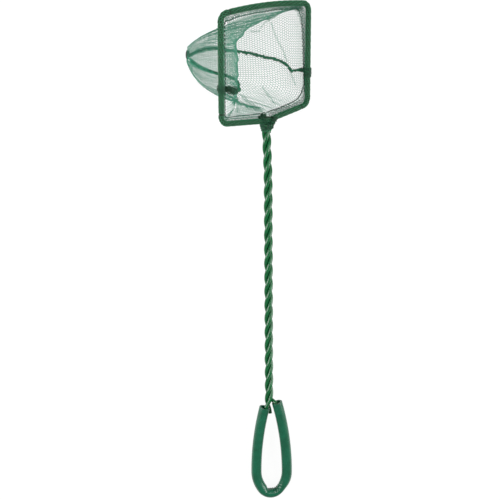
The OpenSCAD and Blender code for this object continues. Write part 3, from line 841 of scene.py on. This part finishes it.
def band(name, start, stop, deep=BAND_DOWN, lift=BAND_LIFT):
    """A second layer of netting, from one run of the rim to another."""
    def place(x, down):
        run = x + (start + stop) / 2
        return below_rim(run, down * band_share(run), lift)

    return netting_of(name, stop - start, deep, place)


def joined(first, *others):
    """Several pieces made one, under the first one's name."""
    only(first)
    for other in others:
        other.select_set(True)
    bpy.ops.object.join()
    return bpy.context.object


upper_net = joined(upper_net, band("band_upper", LEFT_RUN, RIGHT_RUN),
                   band("spare_upper", *SPARE_UPPER, SPARE_LIFT),
                   band("spare_corner", *SPARE_CORNER, SPARE_LIFT))
lower_net = joined(lower_net, band("band_lower", RIGHT_RUN - OUTLINE_LEN, LEFT_RUN),
                   band("spare_lower", *SPARE_LOWER, SPARE_LIFT))
print("with their edges", count(upper_net), "and", count(lower_net), "triangles")

# %% The stitches and the zigzag
STITCH_GAP = 3           # left free on both sides of the handle
STITCH_STEPS = 1400
STITCH_DOWN = 4.5
STITCH_R = 0.3
STITCH_LEN = 2.6
STITCH_LIFT, STITCH_RISE = 0.45, 0.75
STITCH_DRIFTS = [(0.25, 9), (0.15, 3.1)]   # how far it drifts up and down, and how slowly
ZIGZAG_R = 0.21
ZIGZAG_STEP = 1.35
ZIGZAG_TOP, ZIGZAG_FOOT, ZIGZAG_DRIFT, ZIGZAG_RATE = 1.5, 3.3, 0.3, 1.3
ZIGZAG_LIFT = BAND_LIFT + 0.3

runs = np.linspace(STITCH_GAP, OUTLINE_LEN - STITCH_GAP, STITCH_STEPS)
down = STITCH_DOWN + sum(mm * np.sin(runs / slow) for mm, slow in STITCH_DRIFTS)
lift = STITCH_LIFT + STITCH_RISE * np.sin(runs * 2 * math.pi / STITCH_LEN)
stitches = wires("hem_stitching", [below_rim(runs, down * band_share(runs), lift)], STITCH_R)
runs = np.arange(STITCH_GAP, OUTLINE_LEN - STITCH_GAP, ZIGZAG_STEP)
turn = np.arange(len(runs))
down = np.where(turn % 2 == 0, ZIGZAG_TOP, ZIGZAG_FOOT) + ZIGZAG_DRIFT * np.sin(runs * ZIGZAG_RATE)
stitches = joined(stitches, wires("hem_zigzag", [below_rim(
    runs, down * band_share(runs), ZIGZAG_LIFT)], ZIGZAG_R, 4))
print("stitches and zigzag:", count(stitches), "triangles")

# %% [markdown]
# ## The rolled hem
# The netting's edge goes twice round the wire and makes a soft roll, with the knit showing
# on its outside. Each stretch is a slightly uneven round core of packed netting, with one
# layer of cells wrapped round it. The same tools make the seams, the ties and the junction.

# %% Things that go round a line
def wobble(x, wave, seed):
    """A smooth uneven value between about -1 and 1."""
    x = x * 2 * math.pi / wave
    return (np.sin(x + seed) + 0.7 * np.sin(1.63 * x + 2.3 * seed)
            + 0.5 * np.sin(2.71 * x + 4.1 * seed)) / 2.2


def value_at(radius, run):
    """A radius, which is a number or a function of the run."""
    return radius(run) if callable(radius) else radius


class Line:
    """A line in space with a frame along it, for what goes round it."""

    def __init__(self, points, side, n=400):
        self.points, self.run = resampled(points, n)
        _, self.side, self.up = frames(self.points, side)
        self.length = self.run[-1]

    def at(self, run, angle, radius):
        """The point beside the line at a run, an angle in radians and a radius."""
        point, side, up = (along(run, self.run, a) for a in (self.points, self.side, self.up))
        radius = np.asarray(radius)[..., None]
        return point + radius * (np.cos(angle)[..., None] * side + np.sin(angle)[..., None] * up)


def roll(name, line, radius, sides, step, uneven, seed):
    """A closed uneven rod along a line."""
    n = int(line.length / step) + 2
    run = np.linspace(0, line.length, n)[:, None]
    angle = np.linspace(0, 2 * math.pi, sides, endpoint=False)[None, :]
    lump = wobble(run + 1.1 * np.sin(angle + 0.7 * run), 3.1, seed)
    points = line.at(run, angle, value_at(radius, run) + uneven * lump)
    ends = [tuple(range(sides))[::-1], tuple(range((n - 1) * sides, n * sides))]
    return tidy_mesh(mesh_of(name, points, ring_faces(n, sides) + ends))


def wrapped_net(name, line, radius, cell, thread, skew):
    """Netting wrapped once round a line, and turned by skew radians in a millimetre."""
    cut = round(2 * math.pi * value_at(radius, 0.0) / cell) * cell

    def place(x, down):
        angle = x / cut * 2 * math.pi + skew * down
        return line.at(down, angle, value_at(radius, down))

    return netting_of(name, cut, line.length, place, cell, thread)


def wound(line, start, stop, turns, radius, steps, seed, uneven):
    """Points of a thread wound round a line, so many steps to a turn."""
    share = np.linspace(0, 1, int(turns * steps) + 1)
    run = start + (stop - start) * share + uneven * wobble(share * turns, 2.3, seed)
    r = value_at(radius, run) + uneven * wobble(share * turns, 1.7, seed + 1)
    return line.at(run, 2 * math.pi * turns * share + seed, r)


def hoop_line(start, stop, n=200):
    """The line of the wire from one run of the hoop to another."""
    return Line(hoop_place(hoop_at(np.linspace(start, stop, n))), OUTWARD)


# %% The five stretches of the hem
ROLL_R = 1.52
ROLL_SHAPE = (20, 0.6, 0.09)   # sides, step along it, and unevenness
NET_R = 1.72
HEM_CELL = 1.75          # coarser than the real knit too, so that it shows
HEM_THREAD_W = 0.46
HEM_SKEW = 0.13          # radians that the knit turns round the roll in a millimetre
HEM_LAP = 0.45           # the stretches reach over each other's ends by this much
HEM_END = TAIL_GAP - 1.5
HEM_STRETCHES = ["hem_bottom_left", "hem_left", "hem_top", "hem_right", "hem_bottom_right"]
hem_ends = [HEM_END] + [BEND_ENDS[i] + HEM_R for i in (
    BOTTOM_LEFT, TOP_LEFT, TOP_RIGHT, BOTTOM_RIGHT)] + [OUTLINE_LEN - HEM_END]
hem_rolls, hem_nets = {}, {}
for k, name in enumerate(HEM_STRETCHES):
    line = hoop_line(hem_ends[k] - HEM_LAP, hem_ends[k + 1] + HEM_LAP)
    hem_rolls[name] = roll(name + "_roll", line, ROLL_R, *ROLL_SHAPE, k + 1.0)
    hem_nets[name] = wrapped_net(name + "_knit", line, NET_R, HEM_CELL, HEM_THREAD_W, HEM_SKEW)
    print(name, count(hem_rolls[name]), "+", count(hem_nets[name]), "triangles")

# %% [markdown]
# ## The side seams
# An overlocked seam is a cord of folded netting with threads looped closely round it. Near
# the tip its folded edges lie flat and show as a pale band. So each seam is an uneven core,
# two threads wound over it in turn, and a strip of close netting on both sides.

# %% The seams
SEAM_R = 0.78
SEAM_END_R = 0.38        # it gets thinner where its folded edges lie flat
SEAM_SWELL, SEAM_SWELL_WAVE = 0.42, 7.0
SEAM_LIFT = 0.85
SEAM_STEPS = 260
SEAM_WAVES = [(0.34, 23, 0), (0.34, 17, 2), (0.136, 19, 4)]   # mm, steps and seed on each axis
SEAM_THREAD_R = 0.23
SEAM_PITCH = 1.3
SEAM_LOOPS = [  # share of the turns, height over the core, steps to a turn, seed, unevenness
    (1, 0.16, 9, 0, 0.1),
    (0.47, 0.32, 14, 2, 0.2)]
SEAM_START, SEAM_END = 0.02, 0.965
LEFT_ON_FOLD = (0.27, 0.09, 0.8)   # where the left seam lies on a fold's edge, spread, lift
RIGHT_ON_FOLD = (0.5, 1.0, 0.0)    # the right one doesn't
EDGE_FROM, EDGE_TO = 0.6, 0.985    # where its edges show, as shares of the way to the tip
EDGE_FADE = 0.2
EDGE_LEN = 37.0
EDGE_W = 2.0             # of the flat folded edge on each side of a seam
EDGE_CELL, EDGE_THREAD_W = 0.62, 0.36
EDGE_LIFT, EDGE_UNEVEN, EDGE_WAVE = 0.35, 0.15, 7


def seam(name, run_at, seed, on_fold):
    """A seam's core with its loops of thread, and the line that they follow."""
    t = np.linspace(SEAM_START, SEAM_END, SEAM_STEPS)
    base, inward = creased(run_at(t), t)
    middle, spread, out = on_fold
    base += inward * (SEAM_LIFT + out * near(t, middle, spread))[:, None]
    base += np.stack([mm * wobble(np.arange(SEAM_STEPS), wave, seed + more)
                      for mm, wave, more in SEAM_WAVES], 1)
    line = Line(base, [0, 0, 1], 500)
    line.points[:, 2] = np.maximum(line.points[:, 2], SEAM_R + SEAM_THREAD_R)

    def swell(run):
        thin = np.clip((run / line.length - EDGE_FROM) / EDGE_FADE, 0, 1)
        lumps = 1 + SEAM_SWELL * wobble(run, SEAM_SWELL_WAVE, seed + 1)
        return (SEAM_R + (SEAM_END_R - SEAM_R) * thin) * lumps

    turns = line.length / SEAM_PITCH
    core = roll(name + "_core", line, swell, 10, 0.5, 0.05, seed)
    loops = [wound(line, 0, line.length, turns * share, lambda run: swell(run) + over, steps,
                   seed + more, uneven) for share, over, steps, more, uneven in SEAM_LOOPS]
    piece = joined(wires(name + "_rope", loops, SEAM_THREAD_R, 6), core)
    print(name, round(line.length, 1), "mm,", count(piece), "triangles")
    return piece, line


def seam_edge(name, run_at, seed):
    """The folded edges of the panels, which lie flat on both sides of a seam near the tip."""
    def place(x, down):
        t = EDGE_FROM + (EDGE_TO - EDGE_FROM) * down / EDGE_LEN
        point, inward = creased(run_at(t), t)
        beside, _ = creased(run_at(t) + 1, t)
        taper = 0.45 + 0.55 * np.sin(math.pi * (down / EDGE_LEN) ** 1.4)
        lift = EDGE_LIFT + EDGE_UNEVEN * wobble(down, EDGE_WAVE, seed)
        return point + unit(beside - point) * (x * taper)[:, None] + inward * lift[:, None]

    return netting_of(name, 2 * EDGE_W, EDGE_LEN, place, EDGE_CELL, EDGE_THREAD_W,
                      lambda down: EDGE_W)


left_seam, left_line = seam("left_seam", left_seam_run, 1.0, LEFT_ON_FOLD)
right_seam, right_line = seam("right_seam", right_seam_run, 2.0, RIGHT_ON_FOLD)
left_edge = seam_edge("left_seam_edge", left_seam_run, 1.0)
right_edge = seam_edge("right_seam_edge", right_seam_run, 2.0)
print("seam edges", count(left_edge), count(right_edge), "triangles")

# %% [markdown]
# ## Folds that lie on the netting
# Where slack netting doubles over itself, two or three layers lie on each other in a narrow
# line. Such a fold is a thin strip of close netting that lies on the panel. Each is placed
# by a few pixels of the photograph, on the layer of the bag that the camera sees there.

# %% The folds
FOLD_CELL = 0.8
FOLD_THREAD_W = 0.17
FOLD_LIFT = 0.6
FOLDS = [  # pixels of the photograph along the fold, and its width in mm
    ([(270.5, 22), (273, 30), (276.5, 39), (281, 47), (284.5, 55), (287, 62)], 0.9),
    ([(289.5, 71), (292.5, 79), (295.5, 86)], 0.8),
    ([(262.5, 86), (266, 92), (270.5, 98), (276, 105.5)], 0.9),
    ([(277, 16.5), (271, 18.5), (265.5, 22), (262, 25.5), (259, 29)], 1.1),
    ([(249, 30.5), (253, 31.3), (257, 31.5), (261, 30)], 1.0),
    ([(239.5, 93.5), (247, 100), (255, 106.5), (262, 112)], 1.3),
    ([(240.5, 96.5), (247.5, 102.5), (254, 108)], 1.0),
    ([(236.8, 95), (237, 101), (237.4, 107), (237.2, 112)], 1.5),
    ([(217, 35.5), (209, 38.5), (201, 43.5), (194.5, 50)], 1.7),
    ([(214, 82), (206, 79), (199, 74.5), (194, 68)], 1.5),
    ([(190.5, 57), (199, 59), (208, 60.5), (217, 61)], 0.6),
    ([(191.5, 51.5), (199, 46.5), (208, 42.5), (217, 40.5)], 0.6),
    ([(192, 62), (199, 70), (207, 75), (216, 77.5)], 1.0),
    ([(224, 35), (231, 31), (238, 26.5), (246, 21)], 0.7),
    ([(228, 40), (232, 35), (235.5, 29.5)], 0.8)]
GRID_RUNS, GRID_ROWS = 420, 200
GRID_FROM, GRID_TO = 0.02, 0.93   # shares of the way to the tip
CLOSE, CLOSEST = 0.9, 0.1         # pixels: a layer this near the pixel, or near the nearest
grid_points, grid_in = (a.reshape(-1, 3) for a in creased(*np.meshgrid(
    np.linspace(0, OUTLINE_LEN, GRID_RUNS), np.linspace(GRID_FROM, GRID_TO, GRID_ROWS))))
grid_seen = in_picture(grid_points)


def on_bag(pixel):
    """The point on the top layer of the netting that is seen at a pixel."""
    off = np.linalg.norm(grid_seen - pixel, axis=1)
    close = np.flatnonzero(off < max(CLOSE, off.min() + CLOSEST))
    pick = close[np.argmax(grid_points[close, 2])]
    return grid_points[pick] + FOLD_LIFT * grid_in[pick]


def smooth_line(points, n=60):
    """A smooth curve through a few points."""
    line, _ = resampled(points, n)
    for _ in range(8):
        line[1:-1] = (line[:-2] + 2 * line[1:-1] + line[2:]) / 4
    return line


def fold(name, pixels, width):
    """A narrow strip of netting over some pixels, thin at both ends."""
    middle = smooth_line([on_bag(pixel) for pixel in smooth_line(pixels, 24)])
    line = Line(middle, np.cross([0, 0, 1], middle[-1] - middle[0]))

    def place(x, down):
        taper = 0.35 + 0.65 * np.sin(math.pi * (down / line.length)) ** 0.6
        return line.at(down, 0 * x, x * taper)

    return netting_of(name, width, line.length, place, FOLD_CELL, FOLD_THREAD_W)


folds = joined(*[fold("fold_" + str(k), *row) for k, row in enumerate(FOLDS)])
print("folds", count(folds), "triangles")

# %% [markdown]
# ## Ties, the wrap at the junction and the end of the bag
# Thick thread is wound round the hoop where the seams start, and round the handle where the
# hem's two ends meet. The netting's ends are caught under it, and make a lumpy sleeve that
# narrows down the handle. Each winding is one row of numbers: the line that it goes round,
# where it starts and stops, its turns, its radius, the steps to a turn, a seed for its
# unevenness, and how uneven it is.

# %% The ties on the side bars
TIE_THREAD_R = 0.3
TIE_R = NET_R + TIE_THREAD_R + 0.15
TIE_REACH = 9.0
left_bar = hoop_line(LEFT_RUN - TIE_REACH, LEFT_RUN + TIE_REACH, 60)
right_bar = hoop_line(RIGHT_RUN - TIE_REACH, RIGHT_RUN + TIE_REACH, 60)


def left_lump(run):
    """The left tie goes on as a rough clump along the start of the seam."""
    return 1.8 + 0.75 * wobble(run, 4.3, 1.3) + 0.3 * wobble(run, 1.9, 0.4)


def right_lump(run):
    """The right one ends in a small swelling."""
    return 0.9 + 0.6 * near(run, 2.5, 2.2)


left_tie = wires("left_tie_thread", [wound(*row) for row in (
    (left_bar, TIE_REACH - 2.8, TIE_REACH + 2.4, 5, TIE_R, 14, 0.4, 0.22),
    (left_bar, TIE_REACH + 2.6, TIE_REACH - 2.0, 3.3, TIE_R + 0.3, 14, 1.4, 0.3),
    (left_line, 0.2, 9.6, 7, left_lump, 14, 2.0, 0.45),
    (left_line, 9.2, 0.6, 4.3, left_lump, 16, 3.0, 0.6),
    (left_line, 1.5, 10.4, 2.6, left_lump, 18, 5.0, 0.8))], TIE_THREAD_R)
left_core = roll("left_tie_core", Line(left_line.points[:60], [0, 0, 1], 60),
                 lambda run: left_lump(run) - 0.7, 16, 0.4, 0.3, 4.0)
right_tie = wires("right_tie_thread", [wound(*row) for row in (
    (right_bar, TIE_REACH - 3.6, TIE_REACH + 3.2, 6, TIE_R, 14, 0.9, 0.25),
    (right_bar, TIE_REACH + 3.0, TIE_REACH - 3.4, 4.2, TIE_R + 0.35, 14, 2.1, 0.35),
    (right_line, 0.2, 5.5, 4.4, right_lump, 12, 1.1, 0.35))], TIE_THREAD_R)
print("ties", count(left_tie), count(right_tie), "triangles")

# %% The sleeve and the wrap at the junction
SLEEVE_UP, SLEEVE_DOWN = 3.0, 8.2   # how far past the hoop's foot, and down the handle
SLEEVE_THREAD_R = 0.32
SLEEVE_NET = (1.7, 0.4, 0.16)       # its cell, thread and skew
RETURN_WRAP = (4.2, -0.35)   # from this far along the return strand to just past its end
GUSSET = [(275.9, 116.5), (274.2, 120), (272, 123.7), (270, 127.5)]   # pixels, in the photograph
GUSSET_Z = 25.5
sleeve_line = Line(handle_place(line_at(np.linspace(-SLEEVE_UP, SLEEVE_DOWN, 80))), [1, 0, 0])
end_line = Line(handle_place(
    RETURN_END + np.outer(np.linspace(*RETURN_WRAP, 20), RETURN_END_WAY)), [0, 0, 1])
gusset_line = Line(smooth_line(on_height(GUSSET, GUSSET_Z)), [0, 0, 1], 60)


def on_sleeve(lift):
    """A radius that is wide at the foot of the hoop, and narrow where it ends on the handle."""
    return lambda run: (3.0 + lift + 2.4 * near(run, 0, 5.0) + 0.5 * near(run, 7.5, 1.8)
                        - 0.35 * near(run, 11.2, 2.0))


sleeve = roll("junction_sleeve", sleeve_line, on_sleeve(-0.25), 28, 0.35, 0.4, 3.0)
sleeve_net = wrapped_net("junction_net", sleeve_line, on_sleeve(0.15), *SLEEVE_NET)
junction = wires("junction_wrapping", [wound(*row) for row in (
    (sleeve_line, 4.5, 9.0, 4.5, on_sleeve(0.35), 16, 0.5, 0.25),
    (sleeve_line, 1.2, 10.8, 2.7, on_sleeve(0.5), 18, 1.5, 0.45),
    (sleeve_line, 10.4, 0.8, 2.1, on_sleeve(0.5), 18, 4.0, 0.5),
    (end_line, 0.2, 4.2, 4.5, 1.75, 14, 0.0, 0.25),
    (end_line, 4.0, 0.4, 2.7, 1.95, 14, 2.0, 0.3),
    (gusset_line, 0.5, gusset_line.length - 0.3, 6.5, 1.7, 14, 0.0, 0.3))], SLEEVE_THREAD_R)
sleeve = joined(sleeve, roll("return_end_wrap", end_line, 1.62, 18, 0.35, 0.12, 6.0),
                roll("junction_gusset", gusset_line, 1.5, 18, 0.35, 0.3, 9.0))
print("junction", count(junction), count(sleeve_net), "triangles")

# %% The clump where the hem's two ends are caught, in front of the foot
CLUMP = [(-2.9, 4.4, 0.2, 1.7), (-4.7, 3.0, 0.0, 1.6), (-1.4, 2.6, 0.2, 1.4)]   # x, y, out, radius
CORE_OF_LUMP = 0.75
for k, (x, y, out, r) in enumerate(CLUMP):
    across = Line(hoop_place([[x - r, y - 0.3 * r], [x, y], [x + r, y - 0.2 * r]], out),
                  OUTWARD, 60)
    half = across.length / 2

    def lump_r(run):
        return r * np.sqrt(np.clip(1 - ((run - half) / (half * 1.04)) ** 2, 0.02, 1))

    core = roll("clump_core", across, lambda run: lump_r(run) * CORE_OF_LUMP, 18, 0.3, 0.3, 7.0 + k)
    thread = wires("clump_thread", [wound(
        across, 0.3, across.length - 0.3, 2.6, lambda run: lump_r(run) + 0.1, 14, k, 0.5)],
        SLEEVE_THREAD_R)
    sleeve, junction = joined(sleeve, core), joined(junction, thread)
print("with the clump", count(junction), "triangles")

# %% The end of the bag
TIP_BAR_HALF = 3.0
TIP_THREAD_R = 0.25
tip_line = Line([TIP + [0.9, y, 0.2] for y in np.linspace(-TIP_BAR_HALF, TIP_BAR_HALF, 40)],
                [0, 0, 1])


def tip_r(run):
    """Thick in the middle, and thin at both ends."""
    return 1.15 * np.sqrt(np.clip(1 - ((run - TIP_BAR_HALF) / 3.4) ** 2, 0.05, 1))


tip_bar = joined(
    wires("tip_bar_stitches", [
        wound(tip_line, 0.2, 5.8, 9, lambda run: tip_r(run) + 0.15, 12, 0.3, 0.15)], TIP_THREAD_R),
    roll("tip_bar_core", tip_line, tip_r, 16, 0.3, 0.1, 5.0))
print("tip", count(tip_bar), "triangles")

# %% [markdown]
# ## Finishes
# The wire's coating is glossy PVC, the grip is a soft satin tube, and the rest is nylon:
# smooth single threads in the netting, packed netting in the hem, and spun thread. Each
# finish is one function's work: two close colours in soft blotches of a real size, and a
# bump of the same blotches where the surface is rough.

# %% Colours and nodes
def colour(code):
    """A colour written as sRGB hex, turned to the linear values that a shader takes."""
    channels = [int(code[i:i + 2], 16) / 255 for i in (1, 3, 5)]
    return tuple(c / 12.92 if c <= 0.04045 else ((c + 0.055) / 1.055) ** 2.4
                 for c in channels) + (1.0,)


def add_node(tree, kind, inputs=None, **settings):
    """One shader node with its settings, and its inputs as values or as sockets to link."""
    node = tree.nodes.new(kind)
    for key, value in settings.items():
        setattr(node, key, value)
    for key, value in (inputs or {}).items():
        if isinstance(value, bpy.types.NodeSocket):
            tree.links.new(value, node.inputs[key])
        else:
            node.inputs[key].default_value = value
    return node


def empty_tree(owner):
    """The node tree of a material or a world, with nothing in it."""
    owner.use_nodes = True
    owner.node_tree.nodes.clear()
    return owner.node_tree


def mottled(name, dark, light, grain_mm, roughness, bump_mm=0.0, metallic=0.0, **more):
    """A finish whose colour and surface vary at a size in millimetres."""
    material = bpy.data.materials.new(name)
    tree = empty_tree(material)
    place = add_node(tree, "ShaderNodeTexCoord")
    noise = add_node(tree, "ShaderNodeTexNoise", {
        "Vector": place.outputs["Object"], "Scale": 1 / (grain_mm * MM), "Detail": 3.0,
        "Roughness": 0.6})
    ramp = add_node(tree, "ShaderNodeValToRGB", {"Fac": noise.outputs["Fac"]})
    for element, position, code in zip(ramp.color_ramp.elements, (0.3, 0.7), (dark, light)):
        element.position, element.color = position, colour(code)
    shader = add_node(tree, "ShaderNodeBsdfPrincipled", {
        "Base Color": ramp.outputs[0], "Roughness": roughness, "Metallic": metallic, **more})
    if bump_mm:
        bump = add_node(tree, "ShaderNodeBump", {
            "Height": noise.outputs["Fac"], "Distance": bump_mm * MM, "Strength": 1.0})
        tree.links.new(bump.outputs[0], shader.inputs["Normal"])
    add_node(tree, "ShaderNodeOutputMaterial", {"Surface": shader.outputs["BSDF"]})
    return material


# %% The finishes
PLASTIC_IOR = 1.53       # of soft PVC, and of nylon
# PVC, dipped: a deep green gloss over a faintly uneven coat
vinyl_coat = mottled("pvc_dipped_coating", "#0A5229", "#0E6A38", 2.5, 0.16, 0.01,
                     IOR=PLASTIC_IOR)
# Drawn steel wire: grey, with a fine grain
steel = mottled("drawn_steel", "#8F9496", "#C3C7C9", 0.3, 0.32, 0.004, 1.0)
# Soft PVC tube: satin, a little milky, with a skin that is pebbled where it was pulled on
soft_vinyl = mottled("soft_pvc_tube", "#0A543A", "#106347", 6.0, 0.26, 0.02, IOR=PLASTIC_IOR)
# Nylon thread, knitted: thin, smooth and slightly glossy
netting = mottled("knitted_nylon_netting", "#2F8266", "#46977A", 7.0, 0.4, IOR=PLASTIC_IOR)
# The same netting, rolled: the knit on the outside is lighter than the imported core
knit = mottled("rolled_nylon_knit", "#1E6E45", "#35895D", 2.0, 0.6, IOR=PLASTIC_IOR)
# Packed netting in the cores of the hem, the left tie, the sleeve and the clumps: the same green
# nylon, painted near black as painted shade for the shade deep between its layers and under the
# knit
packed = mottled("packed_netting_painted_shade", "#04260F", "#0B3F22", 0.9, 0.7, 0.12)
# Folded netting: several pale layers on each other
folded = mottled("folded_nylon_netting", "#2C8C6C", "#43A685", 1.6, 0.45)
# Spun polyester thread: dark and matt, with its plies just showing
sewing = mottled("spun_polyester_thread", "#031C0D", "#0B3D25", 0.8, 0.65, 0.05)
# A thicker thread of the same kind in the ties, worn lighter where it is rubbed
tied = mottled("spun_tying_thread", "#04220F", "#1F6344", 0.9, 0.6, 0.05)
# The same thread over the seams' folded netting, which shows through lighter
looped = mottled("overlocked_thread", "#0A3F29", "#2A8A62", 1.3, 0.55, 0.05)

# %% Dress the pieces
DRESS = []               # piece, finish, slot, and the node that it stands for
for name in STRAND_ROUTES:
    DRESS += [(coatings[name], vinyl_coat, "coating", name + "_coating"),
              (cores[name], steel, "steel", name + "_core")]
DRESS += [(tube, soft_vinyl, "tube", "grip_tube"),
          (upper_net, netting, "mesh", "bag_upper"),
          (lower_net, netting, "mesh", "bag_lower")]
for name in HEM_STRETCHES:
    DRESS += [(hem_rolls[name], packed, "binding", name), (hem_nets[name], knit, "binding", name)]
DRESS += [(stitches, sewing, "thread", "hem_stitch"),
          (left_seam, looped, "thread", "left_seam"),
          (right_seam, looped, "thread", "right_seam"),
          (folds, folded, "mesh", "bag_upper"),
          (left_edge, folded, "mesh", "left_seam"),
          (right_edge, folded, "mesh", "right_seam"),
          (left_tie, tied, "thread", "left_tie"),
          (left_core, packed, "thread", "left_tie"),
          (right_tie, tied, "thread", "right_tie"),
          (junction, tied, "thread", "junction_wrap"),
          (sleeve, packed, "binding", "junction_wrap"),
          (sleeve_net, knit, "binding", "junction_wrap"),
          (tip_bar, sewing, "thread", "tip_knot")]
for piece, finish, slot, node in DRESS:
    piece.data.materials.clear()
    piece.data.materials.append(finish)
    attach(piece, BODY)
    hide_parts(node)
for name, finish in {"hoop_core": steel, "hoop_coating": vinyl_coat, "grip_core": steel,
                     "grip_coating": vinyl_coat}.items():
    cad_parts[name].data.materials.clear()
    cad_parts[name].data.materials.append(finish)
print(len(DRESS), "pieces dressed")

# %% [markdown]
# ## The floor and the light
# The net lies on a white table under two large soft lamps, one on each side, so that each
# round thing has two bright edges and a dark middle. The camera sees the floor as plain
# white, with a faint shadow left in it, and a glossy surface sees the same white.

# %% The floor
FLOOR_SIZE = 4000
SHADOW_GREY = 0.14       # of the part of the floor's look that takes a shadow
FLOOR_GLOW = 0.9

bpy.ops.mesh.primitive_plane_add(size=FLOOR_SIZE * MM, location=(0, 0, 0))
floor = bpy.context.object
floor.name = "floor"
material = bpy.data.materials.new("white_table")
tree = empty_tree(material)
plain = add_node(tree, "ShaderNodeBsdfDiffuse", {"Color": colour("#E6E6E6")})
faint = add_node(tree, "ShaderNodeBsdfDiffuse", {"Color": (*[SHADOW_GREY] * 3, 1)})
glow = add_node(tree, "ShaderNodeEmission", {"Color": (1, 1, 1, 1), "Strength": FLOOR_GLOW})
both = add_node(tree, "ShaderNodeAddShader", {0: faint.outputs[0], 1: glow.outputs[0]})
path = add_node(tree, "ShaderNodeLightPath")
seen = path.outputs["Is Camera Ray"]
for other in ("Is Glossy Ray", "Is Transmission Ray"):
    seen = add_node(tree, "ShaderNodeMath", {0: seen, 1: path.outputs[other]},
                    operation="MAXIMUM").outputs[0]
mix = add_node(tree, "ShaderNodeMixShader", {0: seen, 1: plain.outputs[0], 2: both.outputs[0]})
add_node(tree, "ShaderNodeOutputMaterial", {"Surface": mix.outputs[0]})
floor.data.materials.append(material)

# %% The lamps and the room
ROOM_LIGHT = 0.3
SOFTBOXES = [  # name, place and size in mm, power in watts
    ("left_softbox", (-1000, 0, 600), (600, 1100), 11),
    ("right_softbox", (1000, 0, 600), (600, 1100), 11),
    ("top_softbox", (0, 500, 1400), (700, 700), 3.5)]

world = bpy.data.worlds.new("room")
bpy.context.scene.world = world
tree = empty_tree(world)
dim, white = (add_node(tree, "ShaderNodeBackground", {"Color": (1, 1, 1, 1), "Strength": power})
              for power in (ROOM_LIGHT, 1.0))
path = add_node(tree, "ShaderNodeLightPath")
mix = add_node(tree, "ShaderNodeMixShader", {
    0: path.outputs["Is Camera Ray"], 1: dim.outputs[0], 2: white.outputs[0]})
add_node(tree, "ShaderNodeOutputWorld", {"Surface": mix.outputs[0]})

for name, place, (width, length), power in SOFTBOXES:
    bpy.ops.object.light_add(type="AREA", location=[c * MM for c in place])
    light = bpy.context.object
    light.name = name
    light.data.shape = "RECTANGLE"
    light.data.size, light.data.size_y = width * MM, length * MM
    light.data.energy = power
    light.rotation_euler = (-light.location).to_track_quat("-Z", "Y").to_euler()
    print(name, power, "W")

bpy.context.scene.view_settings.view_transform = "Standard"
